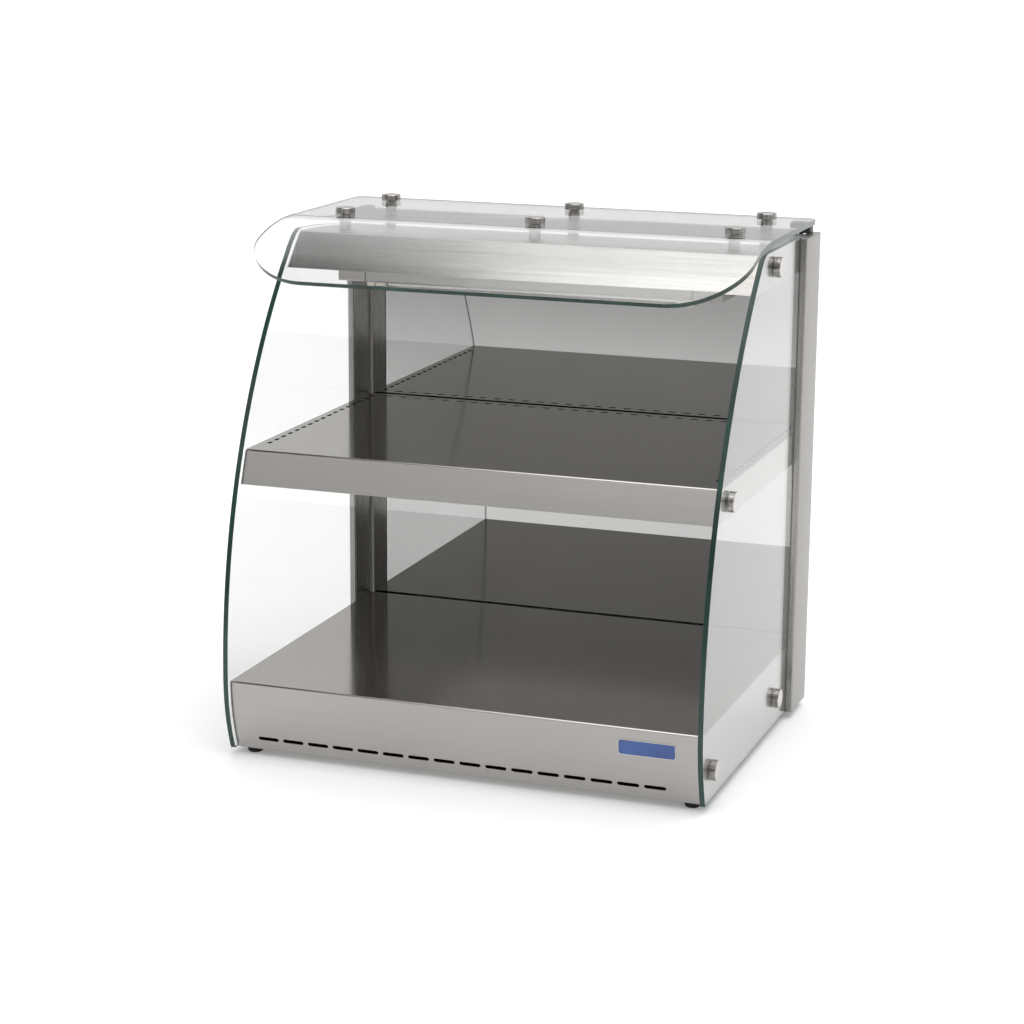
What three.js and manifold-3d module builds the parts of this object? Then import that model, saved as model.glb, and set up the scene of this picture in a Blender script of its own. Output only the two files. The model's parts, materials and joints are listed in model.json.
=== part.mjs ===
// Countertop hot food display case: heated base, heated shelf, lamp canopy, curved glass and a
// mirrored rear door. Millimetres, +X right, +Y towards the operator, +Z up.
import * as THREE from "three";
import { mergeVertices } from "three/addons/utils/BufferGeometryUtils.js";
import Module from "manifold-3d";

const wasm = await Module();
wasm.setup();

// ---------------------------------------------------------------- driving dimensions
const OVERALL_WIDTH = 600;
const BODY_WIDTH = 572;          // base, shelf and canopy
const FIT = 0.3;                 // gap between pieces that touch
const SHEET = 1.2;               // folded stainless sheet
const GLASS = 6;

const FOOT_HEIGHT = 9;
const BASE_TOP = 95;
const SHELF_TOP = 363.5;
const SHELF_HEIGHT = 39;
const CANOPY_TOP = 599.5;
const CANOPY_HEIGHT = 39.5;
const GLASS_TOP = 602;           // upper edge of the side glasses
const ROOF_GAP = 13.5;           // canopy top to top glass
const ROOF_TOP = CANOPY_TOP + ROOF_GAP + GLASS;

// The fronts follow two arcs whose centres lie at one height.
const ARC_HEIGHT = 97;
const UPPER_ARC = 692;
const LOWER_ARC = 230;
const GLASS_LEAD = 5.5;          // side glass in front of the sheet fronts

// Depths, measured from the front of the base top.
const UPRIGHT_FRONT = 381;
const UPRIGHT_REAR = 451;
const UPRIGHT_WALL = 1.5;
const BODY_REAR = 428;
const MIRROR_FRONT = 433;
const MIRROR = 4;
const DOOR_REAR = 449;
const HANDLE_REAR = 475.5;

const ROOF_REAR = 427;
const ROOF_BEND = 221;           // where the flat top glass starts to curve down
const ROOF_RADIUS = 278;
const ROOF_SWEEP = THREE.MathUtils.degToRad(36.4);
const ROOF_CORNER = 84;
const ROOF_REAR_CORNER = 10;

// ---------------------------------------------------------------- derived places
const bodyHalf = BODY_WIDTH / 2;
const overallHalf = OVERALL_WIDTH / 2;
const glassInner = bodyHalf + FIT;
const glassOuter = glassInner + GLASS;
const plateHalf = bodyHalf - SHEET;
const centreY = (HANDLE_REAR - GLASS_LEAD) / 2;
const shelfBottom = SHELF_TOP - SHELF_HEIGHT;
const canopyBottom = CANOPY_TOP - CANOPY_HEIGHT;
const roofBottom = ROOF_TOP - GLASS;

const DOOR_HALF = 284;
const DOOR_BOTTOM = 82;
const DOOR_TOP = 597;
const HINGE_X = 277;
const HINGE_Y = 444;

const UPRIGHT_TOP = CANOPY_TOP + 0.5;
const OVERCUT = 1;               // how far a cutter runs past what it cuts

// ---------------------------------------------------------------- materials
const finish = (color, roughness, metalness) =>
  new THREE.MeshStandardMaterial({ color, roughness, metalness });
const brushed = finish(0xa8a39e, 0.35, 1);
const polished = finish(0xb2b5b0, 0.12, 1);
const dullSteel = finish(0x8f8d88, 0.5, 1);
const chrome = finish(0xc8c8c8, 0.15, 1);
const mirrorGlass = finish(0xd8dcdc, 0.02, 1);
const rubber = finish(0x141414, 0.85, 0);
const blackPlastic = finish(0x1b1b1c, 0.45, 0);
const ceramic = finish(0xe8e2d6, 0.7, 0);
const board = finish(0xc9bd9c, 0.9, 0);
const amber = finish(0xd98a1e, 0.3, 0);
const seeThrough = (color, roughness, opacity) =>
  new THREE.MeshStandardMaterial({ color, roughness, opacity, transparent: true });
const quartz = seeThrough(0xf4efe4, 0.1, 0.6);
const clearGlass = seeThrough(0xbfe0d2, 0.03, 0.35);

// ---------------------------------------------------------------- solids
const model = new THREE.Group();
model.position.set(0, -centreY, 0);

function toSolid(geometry) {
  const bare = geometry.clone();
  bare.deleteAttribute("normal");
  bare.deleteAttribute("uv");
  const merged = mergeVertices(bare, 1e-4);
  return new wasm.Manifold(new wasm.Mesh({
    numProp: 3,
    vertProperties: new Float32Array(merged.attributes.position.array),
    triVerts: new Uint32Array(merged.index.array),
  }));
}

function toGeometry(solid) {
  const mesh = solid.getMesh();
  const geometry = new THREE.BufferGeometry();
  geometry.setAttribute("position", new THREE.BufferAttribute(mesh.vertProperties, 3));
  geometry.setIndex(new THREE.BufferAttribute(mesh.triVerts, 1));
  geometry.computeVertexNormals();
  return geometry;
}

function join(geometries) {
  return toGeometry(geometries.map(toSolid).reduce((all, solid) => all.add(solid)));
}

function cut(geometry, cutters) {
  const start = toSolid(geometry);
  return toGeometry(cutters.map(toSolid).reduce((left, cutter) => left.subtract(cutter), start));
}

function place(name, geometry, material, position = [0, 0, 0]) {
  const mesh = new THREE.Mesh(geometry, material);
  mesh.name = name;
  mesh.position.set(...position);
  model.add(mesh);
  return mesh;
}

function box(x0, x1, y0, y1, z0, z1) {
  const geometry = new THREE.BoxGeometry(x1 - x0, y1 - y0, z1 - z0);
  return geometry.translate((x0 + x1) / 2, (y0 + y1) / 2, (z0 + z1) / 2);
}

function shapeOf(points) {
  return new THREE.Shape(points.map(([a, b]) => new THREE.Vector2(a, b)));
}

// A side-view outline of (y, z) points, drawn out between two x values.
function extrudeX(points, x0, x1) {
  const geometry = new THREE.ExtrudeGeometry(shapeOf(points), { depth: x1 - x0, bevelEnabled: false });
  const axes = new THREE.Matrix4().makeBasis(
    new THREE.Vector3(0, 1, 0), new THREE.Vector3(0, 0, 1), new THREE.Vector3(1, 0, 0));
  return geometry.applyMatrix4(axes).translate(x0, 0, 0);
}

// A plan-view shape, drawn out between two heights.
function extrudeZ(shape, z0, z1, curveSegments = 6) {
  const geometry = new THREE.ExtrudeGeometry(shape, { depth: z1 - z0, bevelEnabled: false, curveSegments });
  return geometry.translate(0, 0, z0);
}

// A rear-view shape of (x, z) points, drawn out between two depths.
function extrudeY(shape, y0, y1, curveSegments = 6) {
  const geometry = new THREE.ExtrudeGeometry(shape, { depth: y1 - y0, bevelEnabled: false, curveSegments });
  return geometry.rotateX(Math.PI / 2).translate(0, y1, 0);
}

function cylinderAlong(axis, radius, from, to, sides = 16) {
  const geometry = new THREE.CylinderGeometry(radius, radius, to - from, sides);
  geometry.translate(0, (from + to) / 2, 0);
  if (axis === "x") geometry.rotateZ(-Math.PI / 2);
  if (axis === "z") geometry.rotateX(Math.PI / 2);
  return geometry;
}

// A turned piece whose profile is (radius, height along its axis).
function turned(profile, axis, sides = 16) {
  const geometry = new THREE.LatheGeometry(profile.map(([r, h]) => new THREE.Vector2(r, h)), sides);
  if (axis === "x") geometry.rotateZ(-Math.PI / 2);
  if (axis === "z") geometry.rotateX(Math.PI / 2);
  return toGeometry(toSolid(geometry));
}

function tubeAlong(curve, radius, steps, sides = 8) {
  const section = new THREE.Shape(ring(0, 0, radius, sides));
  const geometry = new THREE.ExtrudeGeometry(section, { steps, extrudePath: curve, bevelEnabled: false });
  return toGeometry(toSolid(geometry));
}

function ring(x, z, radius, sides) {
  const points = [];
  for (let i = 0; i < sides; i++) {
    const angle = -2 * Math.PI * i / sides;
    points.push(new THREE.Vector2(x + radius * Math.cos(angle), z + radius * Math.sin(angle)));
  }
  return points;
}

// Sheet folded along an outer line of (y, z) points; the sheet lies on the right of the line.
function folded(points, thickness) {
  const inner = points.map(([y, z], i) => {
    const before = points[Math.max(i - 1, 0)];
    const after = points[Math.min(i + 1, points.length - 1)];
    const normals = [];
    if (i > 0) normals.push(rightOf(before, points[i]));
    if (i < points.length - 1) normals.push(rightOf(points[i], after));
    const sum = normals.reduce((a, b) => [a[0] + b[0], a[1] + b[1]]);
    const scale = thickness * normals.length / (sum[0] ** 2 + sum[1] ** 2);
    return [y + sum[0] * scale, z + sum[1] * scale];
  });
  return [...points, ...inner.reverse()];
}

function rightOf(a, b) {
  const length = Math.hypot(b[0] - a[0], b[1] - a[1]);
  return [(b[1] - a[1]) / length, -(b[0] - a[0]) / length];
}

// The front line between two heights, moved forward by lead.
function frontLine(lead, z0, z1, steps) {
  const heights = [];
  for (let i = 0; i <= steps; i++) heights.push(z0 + (z1 - z0) * i / steps);
  if (z0 < ARC_HEIGHT && z1 > ARC_HEIGHT) heights.push(ARC_HEIGHT);
  return heights.sort((a, b) => a - b).map((z) => [frontY(z, lead), z]);
}

function frontY(z, lead = 0) {
  const radius = z < ARC_HEIGHT ? LOWER_ARC : UPPER_ARC;
  return radius - Math.sqrt((radius + lead) ** 2 - (z - ARC_HEIGHT) ** 2);
}

const sides = [["left", -1], ["right", 1]];

// ---------------------------------------------------------------- frame and glass
function makeUpright(sign) {
  const wall = UPRIGHT_WALL;
  const outer = box(glassInner, overallHalf, UPRIGHT_FRONT, UPRIGHT_REAR, FOOT_HEIGHT, UPRIGHT_TOP);
  const inner = box(glassInner + wall, overallHalf - wall, UPRIGHT_FRONT + wall, UPRIGHT_REAR - wall,
    FOOT_HEIGHT - OVERCUT, UPRIGHT_TOP - wall);
  return mirrorX(cut(outer, [inner]), sign);
}

function mirrorX(geometry, sign) {
  if (sign > 0) return geometry;
  const mirrored = geometry.clone().scale(-1, 1, 1);
  const index = mirrored.index.array;
  for (let i = 0; i < index.length; i += 3) [index[i + 1], index[i + 2]] = [index[i + 2], index[i + 1]];
  return mirrored;
}

const FIXING_HEAD = 12;          // radius
const FIXING_NECK = 4;
const FIXING_HOLE = 4.6;
const HEAD_LENGTH = 7;
const HEAD_CHAMFER = 0.8;
const sideFixings = {
  base_front: [35, 45.5],
  base_rear: [321, 45],
  shelf: [82, 344],
  canopy: [262, 582],
};

function makeSideGlass(sign) {
  const CORNER = 12;
  const front = frontLine(GLASS_LEAD, FOOT_HEIGHT, GLASS_TOP - CORNER, 22);
  const cornerY = frontY(GLASS_TOP, GLASS_LEAD);
  const rounding = new THREE.QuadraticBezierCurve(
    new THREE.Vector2(...front.at(-1)),
    new THREE.Vector2(cornerY, GLASS_TOP),
    new THREE.Vector2(cornerY + CORNER, GLASS_TOP),
  ).getPoints(5).slice(1).map((p) => [p.x, p.y]);
  const rear = UPRIGHT_FRONT - FIT;
  const outline = [...front, ...rounding, [rear, GLASS_TOP], [rear, FOOT_HEIGHT]].reverse();
  const holes = Object.values(sideFixings).map(([y, z]) =>
    cylinderAlong("x", FIXING_HOLE, glassInner - OVERCUT, glassOuter + OVERCUT, 12).translate(0, y, z));
  return mirrorX(cut(extrudeX(outline, glassInner, glassOuter), holes), sign);
}

function makeSideFixing(sign) {
  const seat = glassOuter + FIT;
  const top = seat + HEAD_LENGTH;
  const profile = [[0, bodyHalf + FIT], [FIXING_NECK, bodyHalf + FIT], [FIXING_NECK, seat],
    [FIXING_HEAD, seat], [FIXING_HEAD, top - HEAD_CHAMFER], [FIXING_HEAD - HEAD_CHAMFER, top], [0, top]];
  return mirrorX(turned(profile, "x"), sign);
}

const ROOF_FIXING_X = [-244, 0, 244];
const ROOF_FIXING_Y = { front: 256, rear: 402 };

// The top glass: flat over the canopy, then bent down in front of it, with large front corners.
function makeRoof() {
  const STEPS = 12;
  const bend = [];
  for (let i = 0; i <= STEPS; i++) {
    const angle = ROOF_SWEEP * i / STEPS;
    bend.push([ROOF_BEND - ROOF_RADIUS * Math.sin(angle), ROOF_TOP - ROOF_RADIUS * (1 - Math.cos(angle))]);
  }
  const line = [[ROOF_REAR, ROOF_TOP], ...bend].reverse();
  const sheet = extrudeX(folded(line, GLASS).reverse(), -overallHalf, overallHalf);
  const holes = [];
  for (const x of ROOF_FIXING_X) {
    for (const y of Object.values(ROOF_FIXING_Y)) {
      holes.push(cylinderAlong("z", FIXING_HOLE, -GLASS, GLASS, 12).translate(x, y, ROOF_TOP));
    }
  }
  const plan = toSolid(extrudeZ(roofPlan(), ROOF_TOP - ROOF_RADIUS, ROOF_TOP + OVERCUT));
  return cut(toGeometry(toSolid(sheet).intersect(plan)), holes);
}

// The top glass seen from above, its front corners foreshortened by the bend.
function roofPlan() {
  const STEPS = 8;
  const arcLength = ROOF_RADIUS * ROOF_SWEEP;
  const right = [];
  for (let i = 0; i <= STEPS; i++) {
    const angle = (Math.PI / 2) * i / STEPS;
    const x = overallHalf - ROOF_CORNER + ROOF_CORNER * Math.sin(angle);
    const along = arcLength - ROOF_CORNER + ROOF_CORNER * Math.cos(angle);
    right.push([x, ROOF_BEND - ROOF_RADIUS * Math.sin(along / ROOF_RADIUS)]);
  }
  right[0][1] -= ROOF_CORNER;     // run past the glass, which the sheet itself ends
  const c = ROOF_REAR_CORNER;
  right.push([overallHalf, ROOF_REAR - c], [overallHalf - c / 3, ROOF_REAR - c / 3]);
  right.push([overallHalf - c, ROOF_REAR]);
  const left = right.map(([x, y]) => [-x, y]).reverse();
  return shapeOf([...right, ...left]);
}

function makeRoofFixing() {
  const BARREL = 7;
  const foot = CANOPY_TOP + FIT;
  const seat = roofBottom - FIT;
  const head = ROOF_TOP + FIT;
  const top = head + HEAD_LENGTH;
  const profile = [[0, foot], [BARREL, foot], [BARREL, seat], [FIXING_NECK, seat], [FIXING_NECK, head],
    [FIXING_HEAD, head], [FIXING_HEAD, top - HEAD_CHAMFER], [FIXING_HEAD - HEAD_CHAMFER, top], [0, top]];
  return turned(profile, "z");
}

for (const [side, sign] of sides) {
  place(`upright_${side}`, makeUpright(sign), brushed);
  place(`side_glass_${side}`, makeSideGlass(sign), clearGlass);
  for (const [spot, [y, z]] of Object.entries(sideFixings)) {
    place(`glass_fixing_${spot}_${side}`, makeSideFixing(sign), chrome, [0, y, z]);
  }
}
place("top_glass", makeRoof(), clearGlass);
for (const [row, y] of Object.entries(ROOF_FIXING_Y)) {
  ["left", "middle", "right"].forEach((spot, i) => {
    place(`top_fixing_${row}_${spot}`, makeRoofFixing(), chrome, [ROOF_FIXING_X[i], y, 0]);
  });
}

// ---------------------------------------------------------------- heated base
const BASE_SIDE_TOP = BASE_TOP - SHEET - FIT;

function makeBaseTray() {
  const inset = -(SHEET + FIT);
  const front = frontLine(inset, FOOT_HEIGHT, BASE_SIDE_TOP, 6);
  const outline = [...front, [BODY_REAR, BASE_SIDE_TOP], [BODY_REAR, FOOT_HEIGHT]].reverse();
  const floor = FOOT_HEIGHT + SHEET;
  const [rear, above] = [BODY_REAR + OVERCUT, BASE_TOP + OVERCUT];
  const inside = [[rear, floor], [rear, above], [0, above], [0, floor]];
  return cut(extrudeX(outline, -bodyHalf, bodyHalf), [extrudeX(inside, -plateHalf, plateHalf)]);
}

const VENT_COUNT = 16;
const VENT_PITCH = 31.75;
const VENT_LENGTH = 26;
const VENT_SHIFT = -4.5;         // the row sits a little left of the middle
const VENT_HEIGHT = 4.6;
const FRONT_VENT_Z = 24.5;

function slotShape(length, height) {
  const r = height / 2;
  const shape = new THREE.Shape();
  shape.absarc(length / 2 - r, 0, r, -Math.PI / 2, Math.PI / 2);
  shape.absarc(r - length / 2, 0, r, Math.PI / 2, 3 * Math.PI / 2);
  return shape;
}

function makeBaseFront() {
  const STEPS = 8;
  const bottom = FOOT_HEIGHT + FIT;
  const outside = frontLine(0, bottom, BASE_SIDE_TOP, STEPS);
  const skin = [...outside, ...frontLine(-SHEET, bottom, BASE_SIDE_TOP, STEPS).reverse()];
  const reach = frontY(bottom) + 2 * SHEET;
  const slots = [];
  for (let i = 0; i < VENT_COUNT; i++) {
    const x = VENT_SHIFT + (i - (VENT_COUNT - 1) / 2) * VENT_PITCH;
    slots.push(extrudeY(slotShape(VENT_LENGTH, VENT_HEIGHT), 0, reach, 4).translate(x, 0, FRONT_VENT_Z));
  }
  return cut(extrudeX(skin.reverse(), -bodyHalf, bodyHalf), slots);
}

const CONTROL_HEIGHT = 46;
const SWITCH_X = { power: -205, lamp: -165 };
const SWITCH = { half: 9.2, halfHeight: 13, lip: 1.8, depth: 20 };
const INDICATOR = { x: -128, radius: 4.2 };
const THERMOSTAT = { x: -78, shaft: 3, dial: 17, height: 18.5 };
const GLAND = { x: 232, z: 34, thread: 7, bore: 3.6 };
const CLEARANCE = 0.5;           // round a control in its hole
const REAR_VENTS = { count: 8, start: -4, pitch: 21, half: 7, halfHeight: 2 };

function makeBaseRear() {
  const half = plateHalf - FIT;
  const [y0, y1] = [BODY_REAR - SHEET, BODY_REAR];
  const panel = box(-half, half, y0, y1, FOOT_HEIGHT + SHEET + FIT, BASE_SIDE_TOP);
  const [from, to] = [y0 - OVERCUT, y1 + OVERCUT];
  const window = (x, w, h) => box(x - w, x + w, from, to, CONTROL_HEIGHT - h, CONTROL_HEIGHT + h);
  const bore = (x, z, radius) => cylinderAlong("y", radius + CLEARANCE, from, to, 12).translate(x, 0, z);
  const openings = Object.values(SWITCH_X).map((x) =>
    window(x, SWITCH.half + CLEARANCE, SWITCH.halfHeight + CLEARANCE));
  openings.push(bore(INDICATOR.x, CONTROL_HEIGHT, INDICATOR.radius));
  openings.push(bore(THERMOSTAT.x, CONTROL_HEIGHT, THERMOSTAT.shaft));
  openings.push(bore(GLAND.x, GLAND.z, GLAND.thread));
  for (let i = 0; i < REAR_VENTS.count; i++) {
    openings.push(window(REAR_VENTS.start + i * REAR_VENTS.pitch, REAR_VENTS.half, REAR_VENTS.halfHeight));
  }
  return cut(panel, openings);
}

function makeBaseTop() {
  return box(-bodyHalf, bodyHalf, FIT, BODY_REAR, BASE_TOP - SHEET, BASE_TOP);
}

const RETURN_DEPTH = 0.42;       // of the pitch between two runs

// A heating tube laid in straight runs along X, joined by round returns.
function serpentine(runs, halfLength, y0, y1, z) {
  const pitch = (y1 - y0) / (runs - 1);
  const points = [];
  for (let i = 0; i < runs; i++) {
    const y = y0 + i * pitch;
    const direction = i % 2 === 0 ? 1 : -1;
    for (const part of [-1, -0.5, 0, 0.5, 1]) {
      points.push(new THREE.Vector3(direction * part * halfLength, y, z));
    }
    if (i < runs - 1) {
      points.push(new THREE.Vector3(direction * (halfLength + pitch * RETURN_DEPTH), y + pitch / 2, z));
    }
  }
  return new THREE.CatmullRomCurve3(points, false, "centripetal");
}

const HEATER_RADIUS = 4;
const BASE_HEATER = { z: BASE_TOP - SHEET - HEATER_RADIUS - 1, runs: 5, half: 205, front: 70, rear: 350 };
const INSULATION = { half: 275, front: 40, rear: 390, bottom: 64, top: 76 };

function makeHeater({ z, runs, half, front, rear }) {
  const STEPS_PER_RUN = 14;
  return tubeAlong(serpentine(runs, half, front, rear, z), HEATER_RADIUS, runs * STEPS_PER_RUN, 6);
}

function makeInsulation() {
  const { half, front, rear, bottom, top } = INSULATION;
  return box(-half, half, front, rear, bottom, top);
}

place("base_tray", makeBaseTray(), dullSteel);
place("base_front_panel", makeBaseFront(), brushed);
place("base_rear_panel", makeBaseRear(), brushed);
place("base_top_plate", makeBaseTop(), polished);
place("base_heater", makeHeater(BASE_HEATER), dullSteel);
place("base_insulation", makeInsulation(), board);

// ---------------------------------------------------------------- controls on the rear of the base
function makeSwitchHousing() {
  const { half, halfHeight, lip, depth } = SWITCH;
  const wall = 1.5;
  const face = BODY_REAR + FIT;
  const pocketFloor = BODY_REAR - 12;
  const bezel = box(-half - lip, half + lip, face, face + 2, -halfHeight - 2, halfHeight + 2);
  const barrel = box(-half, half, BODY_REAR - depth, face + OVERCUT, -halfHeight, halfHeight);
  const pocket = box(wall - half, half - wall, pocketFloor, face + 2 + OVERCUT,
    wall - halfHeight, halfHeight - wall);
  return cut(join([bezel, barrel]), [pocket]);
}

const ROCKER = { half: 7, reach: 10.6, tip: 5.4, waist: 3.6, shoulder: 2, root: 6, rootHalf: 2.5 };
const ROCKER_TILT = THREE.MathUtils.degToRad(8);
const ROCKER_PIVOT_Y = BODY_REAR - 1.5;

// A see-saw button, drawn about its pivot and set to its off side.
function makeRocker() {
  const { half, reach, tip, waist, shoulder, root, rootHalf } = ROCKER;
  const outline = [[-root, -rootHalf], [-root, rootHalf], [shoulder, reach], [tip, reach], [waist, 0],
    [tip, -reach], [shoulder, -reach]];
  return extrudeX(outline.reverse(), -half, half).rotateX(ROCKER_TILT);
}

function makeKnob() {
  const { shaft, dial, height } = THERMOSTAT;
  const seat = 2 * FIT;
  const flange = 4;
  const top = height - 1.5;
  const skirt = turned([[0, -8], [shaft, -8], [shaft, seat], [dial, seat], [dial, flange],
    [dial - 2.5, flange + 1.5], [dial - 4, top], [dial - 5, height], [0, height]], "y", 24);
  const grip = box(-3, 3, top, height + 2, 5 - dial, dial - 5);
  return join([skirt, grip]);
}

function makeGland() {
  const { thread, bore } = GLAND;
  const inside = -16;
  const end = 17.5;
  return turned([[bore, inside], [thread, inside], [thread, FIT], [thread + 4, FIT], [thread + 4, 7],
    [thread + 2, 8], [thread + 1.4, 14], [bore + 1.6, end], [bore, end], [bore, inside]], "y", 12);
}

function makeIndicator() {
  const { radius } = INDICATOR;
  return turned([[0, -14], [radius, -14], [radius, FIT], [radius + 1.8, FIT], [radius + 1.4, 2.5],
    [radius - 0.8, 4.4], [0, 5.2]], "y", 14);
}

const THERMOSTAT_BODY = { half: 20, halfHeight: 17, front: BODY_REAR - 40, rear: BODY_REAR - 8.5 };

function makeThermostatBody() {
  const { half, halfHeight, front, rear } = THERMOSTAT_BODY;
  return box(-half, half, front, rear, -halfHeight, halfHeight);
}

const TERMINALS = { x: 190, y: 385, half: 26, halfDepth: 9, height: 16 };

function makeTerminalBlock() {
  const { half, halfDepth, height } = TERMINALS;
  return box(-half, half, -halfDepth, halfDepth, 0, height);
}

const controlAt = (x, y = 0) => [x, y, CONTROL_HEIGHT];
for (const [use, x] of Object.entries(SWITCH_X)) {
  const buttonFinish = use === "power" ? amber : blackPlastic;
  place(`${use}_switch_housing`, makeSwitchHousing(), blackPlastic, controlAt(x));
  place(`${use}_switch_rocker`, makeRocker(), buttonFinish, controlAt(x, ROCKER_PIVOT_Y));
}
place("thermostat_knob", makeKnob(), blackPlastic, controlAt(THERMOSTAT.x, BODY_REAR));
place("thermostat_body", makeThermostatBody(), ceramic, controlAt(THERMOSTAT.x));
place("indicator_lamp", makeIndicator(), amber, controlAt(INDICATOR.x, BODY_REAR));
place("cable_gland", makeGland(), blackPlastic, [GLAND.x, BODY_REAR, GLAND.z]);
place("terminal_block", makeTerminalBlock(), ceramic, [TERMINALS.x, TERMINALS.y, FOOT_HEIGHT + SHEET + FIT]);

const FEET = { front: 35, rear: 396 };
const FOOT_X = 271;
const FOOT_RADIUS = 9.7;

function makeFoot() {
  const top = FOOT_HEIGHT - FIT;
  const profile = [[0, 0], [FOOT_RADIUS - 1.9, 0], [FOOT_RADIUS - 1.1, 1.2], [FOOT_RADIUS, top], [0, top]];
  return turned(profile, "z");
}

for (const [side, sign] of sides) {
  for (const [end, y] of Object.entries(FEET)) {
    place(`foot_${end}_${side}`, makeFoot(), rubber, [sign * FOOT_X, y, 0]);
  }
}

// ---------------------------------------------------------------- heated shelf
const SHELF_SIDE_TOP = SHELF_TOP - SHEET - FIT;

function makeShelfTray() {
  const STEPS = 5;
  const outside = frontLine(0, shelfBottom, SHELF_SIDE_TOP, STEPS);
  const outline = [...outside, [BODY_REAR, SHELF_SIDE_TOP], [BODY_REAR, shelfBottom]];
  const floor = shelfBottom + SHEET;
  const rear = BODY_REAR - SHEET;
  const hollow = [...frontLine(-SHEET, floor, SHELF_TOP, STEPS), [rear, SHELF_TOP], [rear, floor]];
  const tray = extrudeX(outline.reverse(), -bodyHalf, bodyHalf);
  return cut(tray, [extrudeX(hollow.reverse(), -plateHalf, plateHalf)]);
}

const HOLE_PITCH = 19.5;
const HOLE_LENGTH = 10.5;
const HOLE_WIDTH = 4.8;
const SIDE_ROW_X = bodyHalf - 11;
const SIDE_ROW_START = 97;
const SIDE_HOLES = 17;
const REAR_ROW_Y = BODY_REAR - 12;
const REAR_HOLES = 27;

// Warm air leaves the shelf through short slots along both sides and the rear.
function makeShelfTop() {
  const plate = box(-bodyHalf, bodyHalf, frontY(SHELF_TOP), BODY_REAR, SHELF_TOP - SHEET, SHELF_TOP);
  const [from, to] = [SHELF_TOP - SHEET - OVERCUT, SHELF_TOP + OVERCUT];
  const slot = (x, y, length, width) =>
    box(x - length / 2, x + length / 2, y - width / 2, y + width / 2, from, to);
  const slots = [];
  for (const [, sign] of sides) {
    for (let i = 0; i < SIDE_HOLES; i++) {
      slots.push(slot(sign * SIDE_ROW_X, SIDE_ROW_START + i * HOLE_PITCH, HOLE_WIDTH, HOLE_LENGTH));
    }
  }
  for (let i = 0; i < REAR_HOLES; i++) {
    slots.push(slot((i - (REAR_HOLES - 1) / 2) * HOLE_PITCH, REAR_ROW_Y, HOLE_LENGTH, HOLE_WIDTH));
  }
  return cut(plate, slots);
}

const BRACKET = { leaf: 24, sheet: 2, front: UPRIGHT_FRONT + 6, rear: BODY_REAR - 8 };
const SHELF_HEATER = { z: shelfBottom + SHELF_HEIGHT / 2, runs: 3, half: 220, front: 120, rear: 340 };

function makeShelfBracket(sign) {
  const { leaf, sheet, front, rear } = BRACKET;
  const top = shelfBottom - FIT;
  const wall = bodyHalf;
  const outline = [[wall, top], [wall - leaf, top], [wall - leaf, top - sheet], [wall - sheet, top - sheet],
    [wall - sheet, top - leaf], [wall, top - leaf]];
  return mirrorX(toGeometry(toSolid(extrudeY(shapeOf(outline), front, rear))), sign);
}

place("shelf_tray", makeShelfTray(), brushed);
place("shelf_top_plate", makeShelfTop(), polished);
place("shelf_heater", makeHeater(SHELF_HEATER), dullSteel);
for (const [side, sign] of sides) place(`shelf_bracket_${side}`, makeShelfBracket(sign), dullSteel);

// ---------------------------------------------------------------- canopy and lamp
// The canopy's outer line in side view: flat top, soft bend, slanted front.
function canopyLine() {
  const BEND = 9;
  const STEPS = 4;
  const [low, corner] = frontLine(0, canopyBottom, CANOPY_TOP, 1);
  const slope = Math.atan2(corner[1] - low[1], corner[0] - low[0]);
  const reach = BEND * Math.tan(slope / 2);
  const points = [low];
  for (let i = STEPS; i >= 0; i--) {
    const angle = Math.PI / 2 + slope * i / STEPS;
    points.push([corner[0] + reach + BEND * Math.cos(angle), CANOPY_TOP - BEND + BEND * Math.sin(angle)]);
  }
  points.push([BODY_REAR, CANOPY_TOP]);
  return points;
}

// One folded sheet: a return under the front edge, the slope, the top and a rear wall.
function makeCanopyCover() {
  const FLANGE = 14;
  const END_GAP = 0.2;
  const line = canopyLine();
  const flange = [line[0][0] + FLANGE, line[0][1]];
  const rearEdge = [BODY_REAR, canopyBottom];
  const half = plateHalf - END_GAP;
  return extrudeX(folded([flange, ...line, rearEdge], SHEET).reverse(), -half, half);
}

function makeCanopyEnd(sign) {
  const outline = [...canopyLine(), [BODY_REAR, canopyBottom]];
  return mirrorX(toGeometry(toSolid(extrudeX(outline.reverse(), plateHalf, bodyHalf))), sign);
}

const LAMP = { front: 224.5, rear: 296, bottom: 542.5, half: 239.5, seam: 205 };
const lampTop = canopyBottom + SHEET + FIT;

function makeCanopyLiner() {
  const half = plateHalf - FIT;
  const front = frontY(canopyBottom) + 4 * SHEET;
  return box(-half, half, front, BODY_REAR - SHEET - FIT, lampTop, lampTop + SHEET);
}

function makeLampHousing() {
  const top = lampTop - FIT;
  const line = [[LAMP.front, LAMP.bottom], [LAMP.front, top], [LAMP.rear, top], [LAMP.rear, LAMP.bottom]];
  return extrudeX(folded(line, SHEET).reverse(), -(LAMP.seam - FIT), LAMP.seam - FIT);
}

const TUBE = { y: 239, z: 540.5, radius: 5.5, half: 195.5 };

function makeLampEnd(sign) {
  const cap = box(LAMP.seam, LAMP.half, LAMP.front, LAMP.rear, LAMP.bottom, lampTop - FIT);
  const reach = TUBE.radius + 2.5;
  const socket = box(TUBE.half + FIT, LAMP.seam + 2, TUBE.y - reach, TUBE.y + reach,
    TUBE.z - TUBE.radius - 0.5, TUBE.z + reach + 2);
  return mirrorX(join([cap, socket]), sign);
}

const REFLECTOR = { half: 195, centreY: 256, lip: 545, width: 56, depth: 13.5, sheet: 0.8 };

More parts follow.
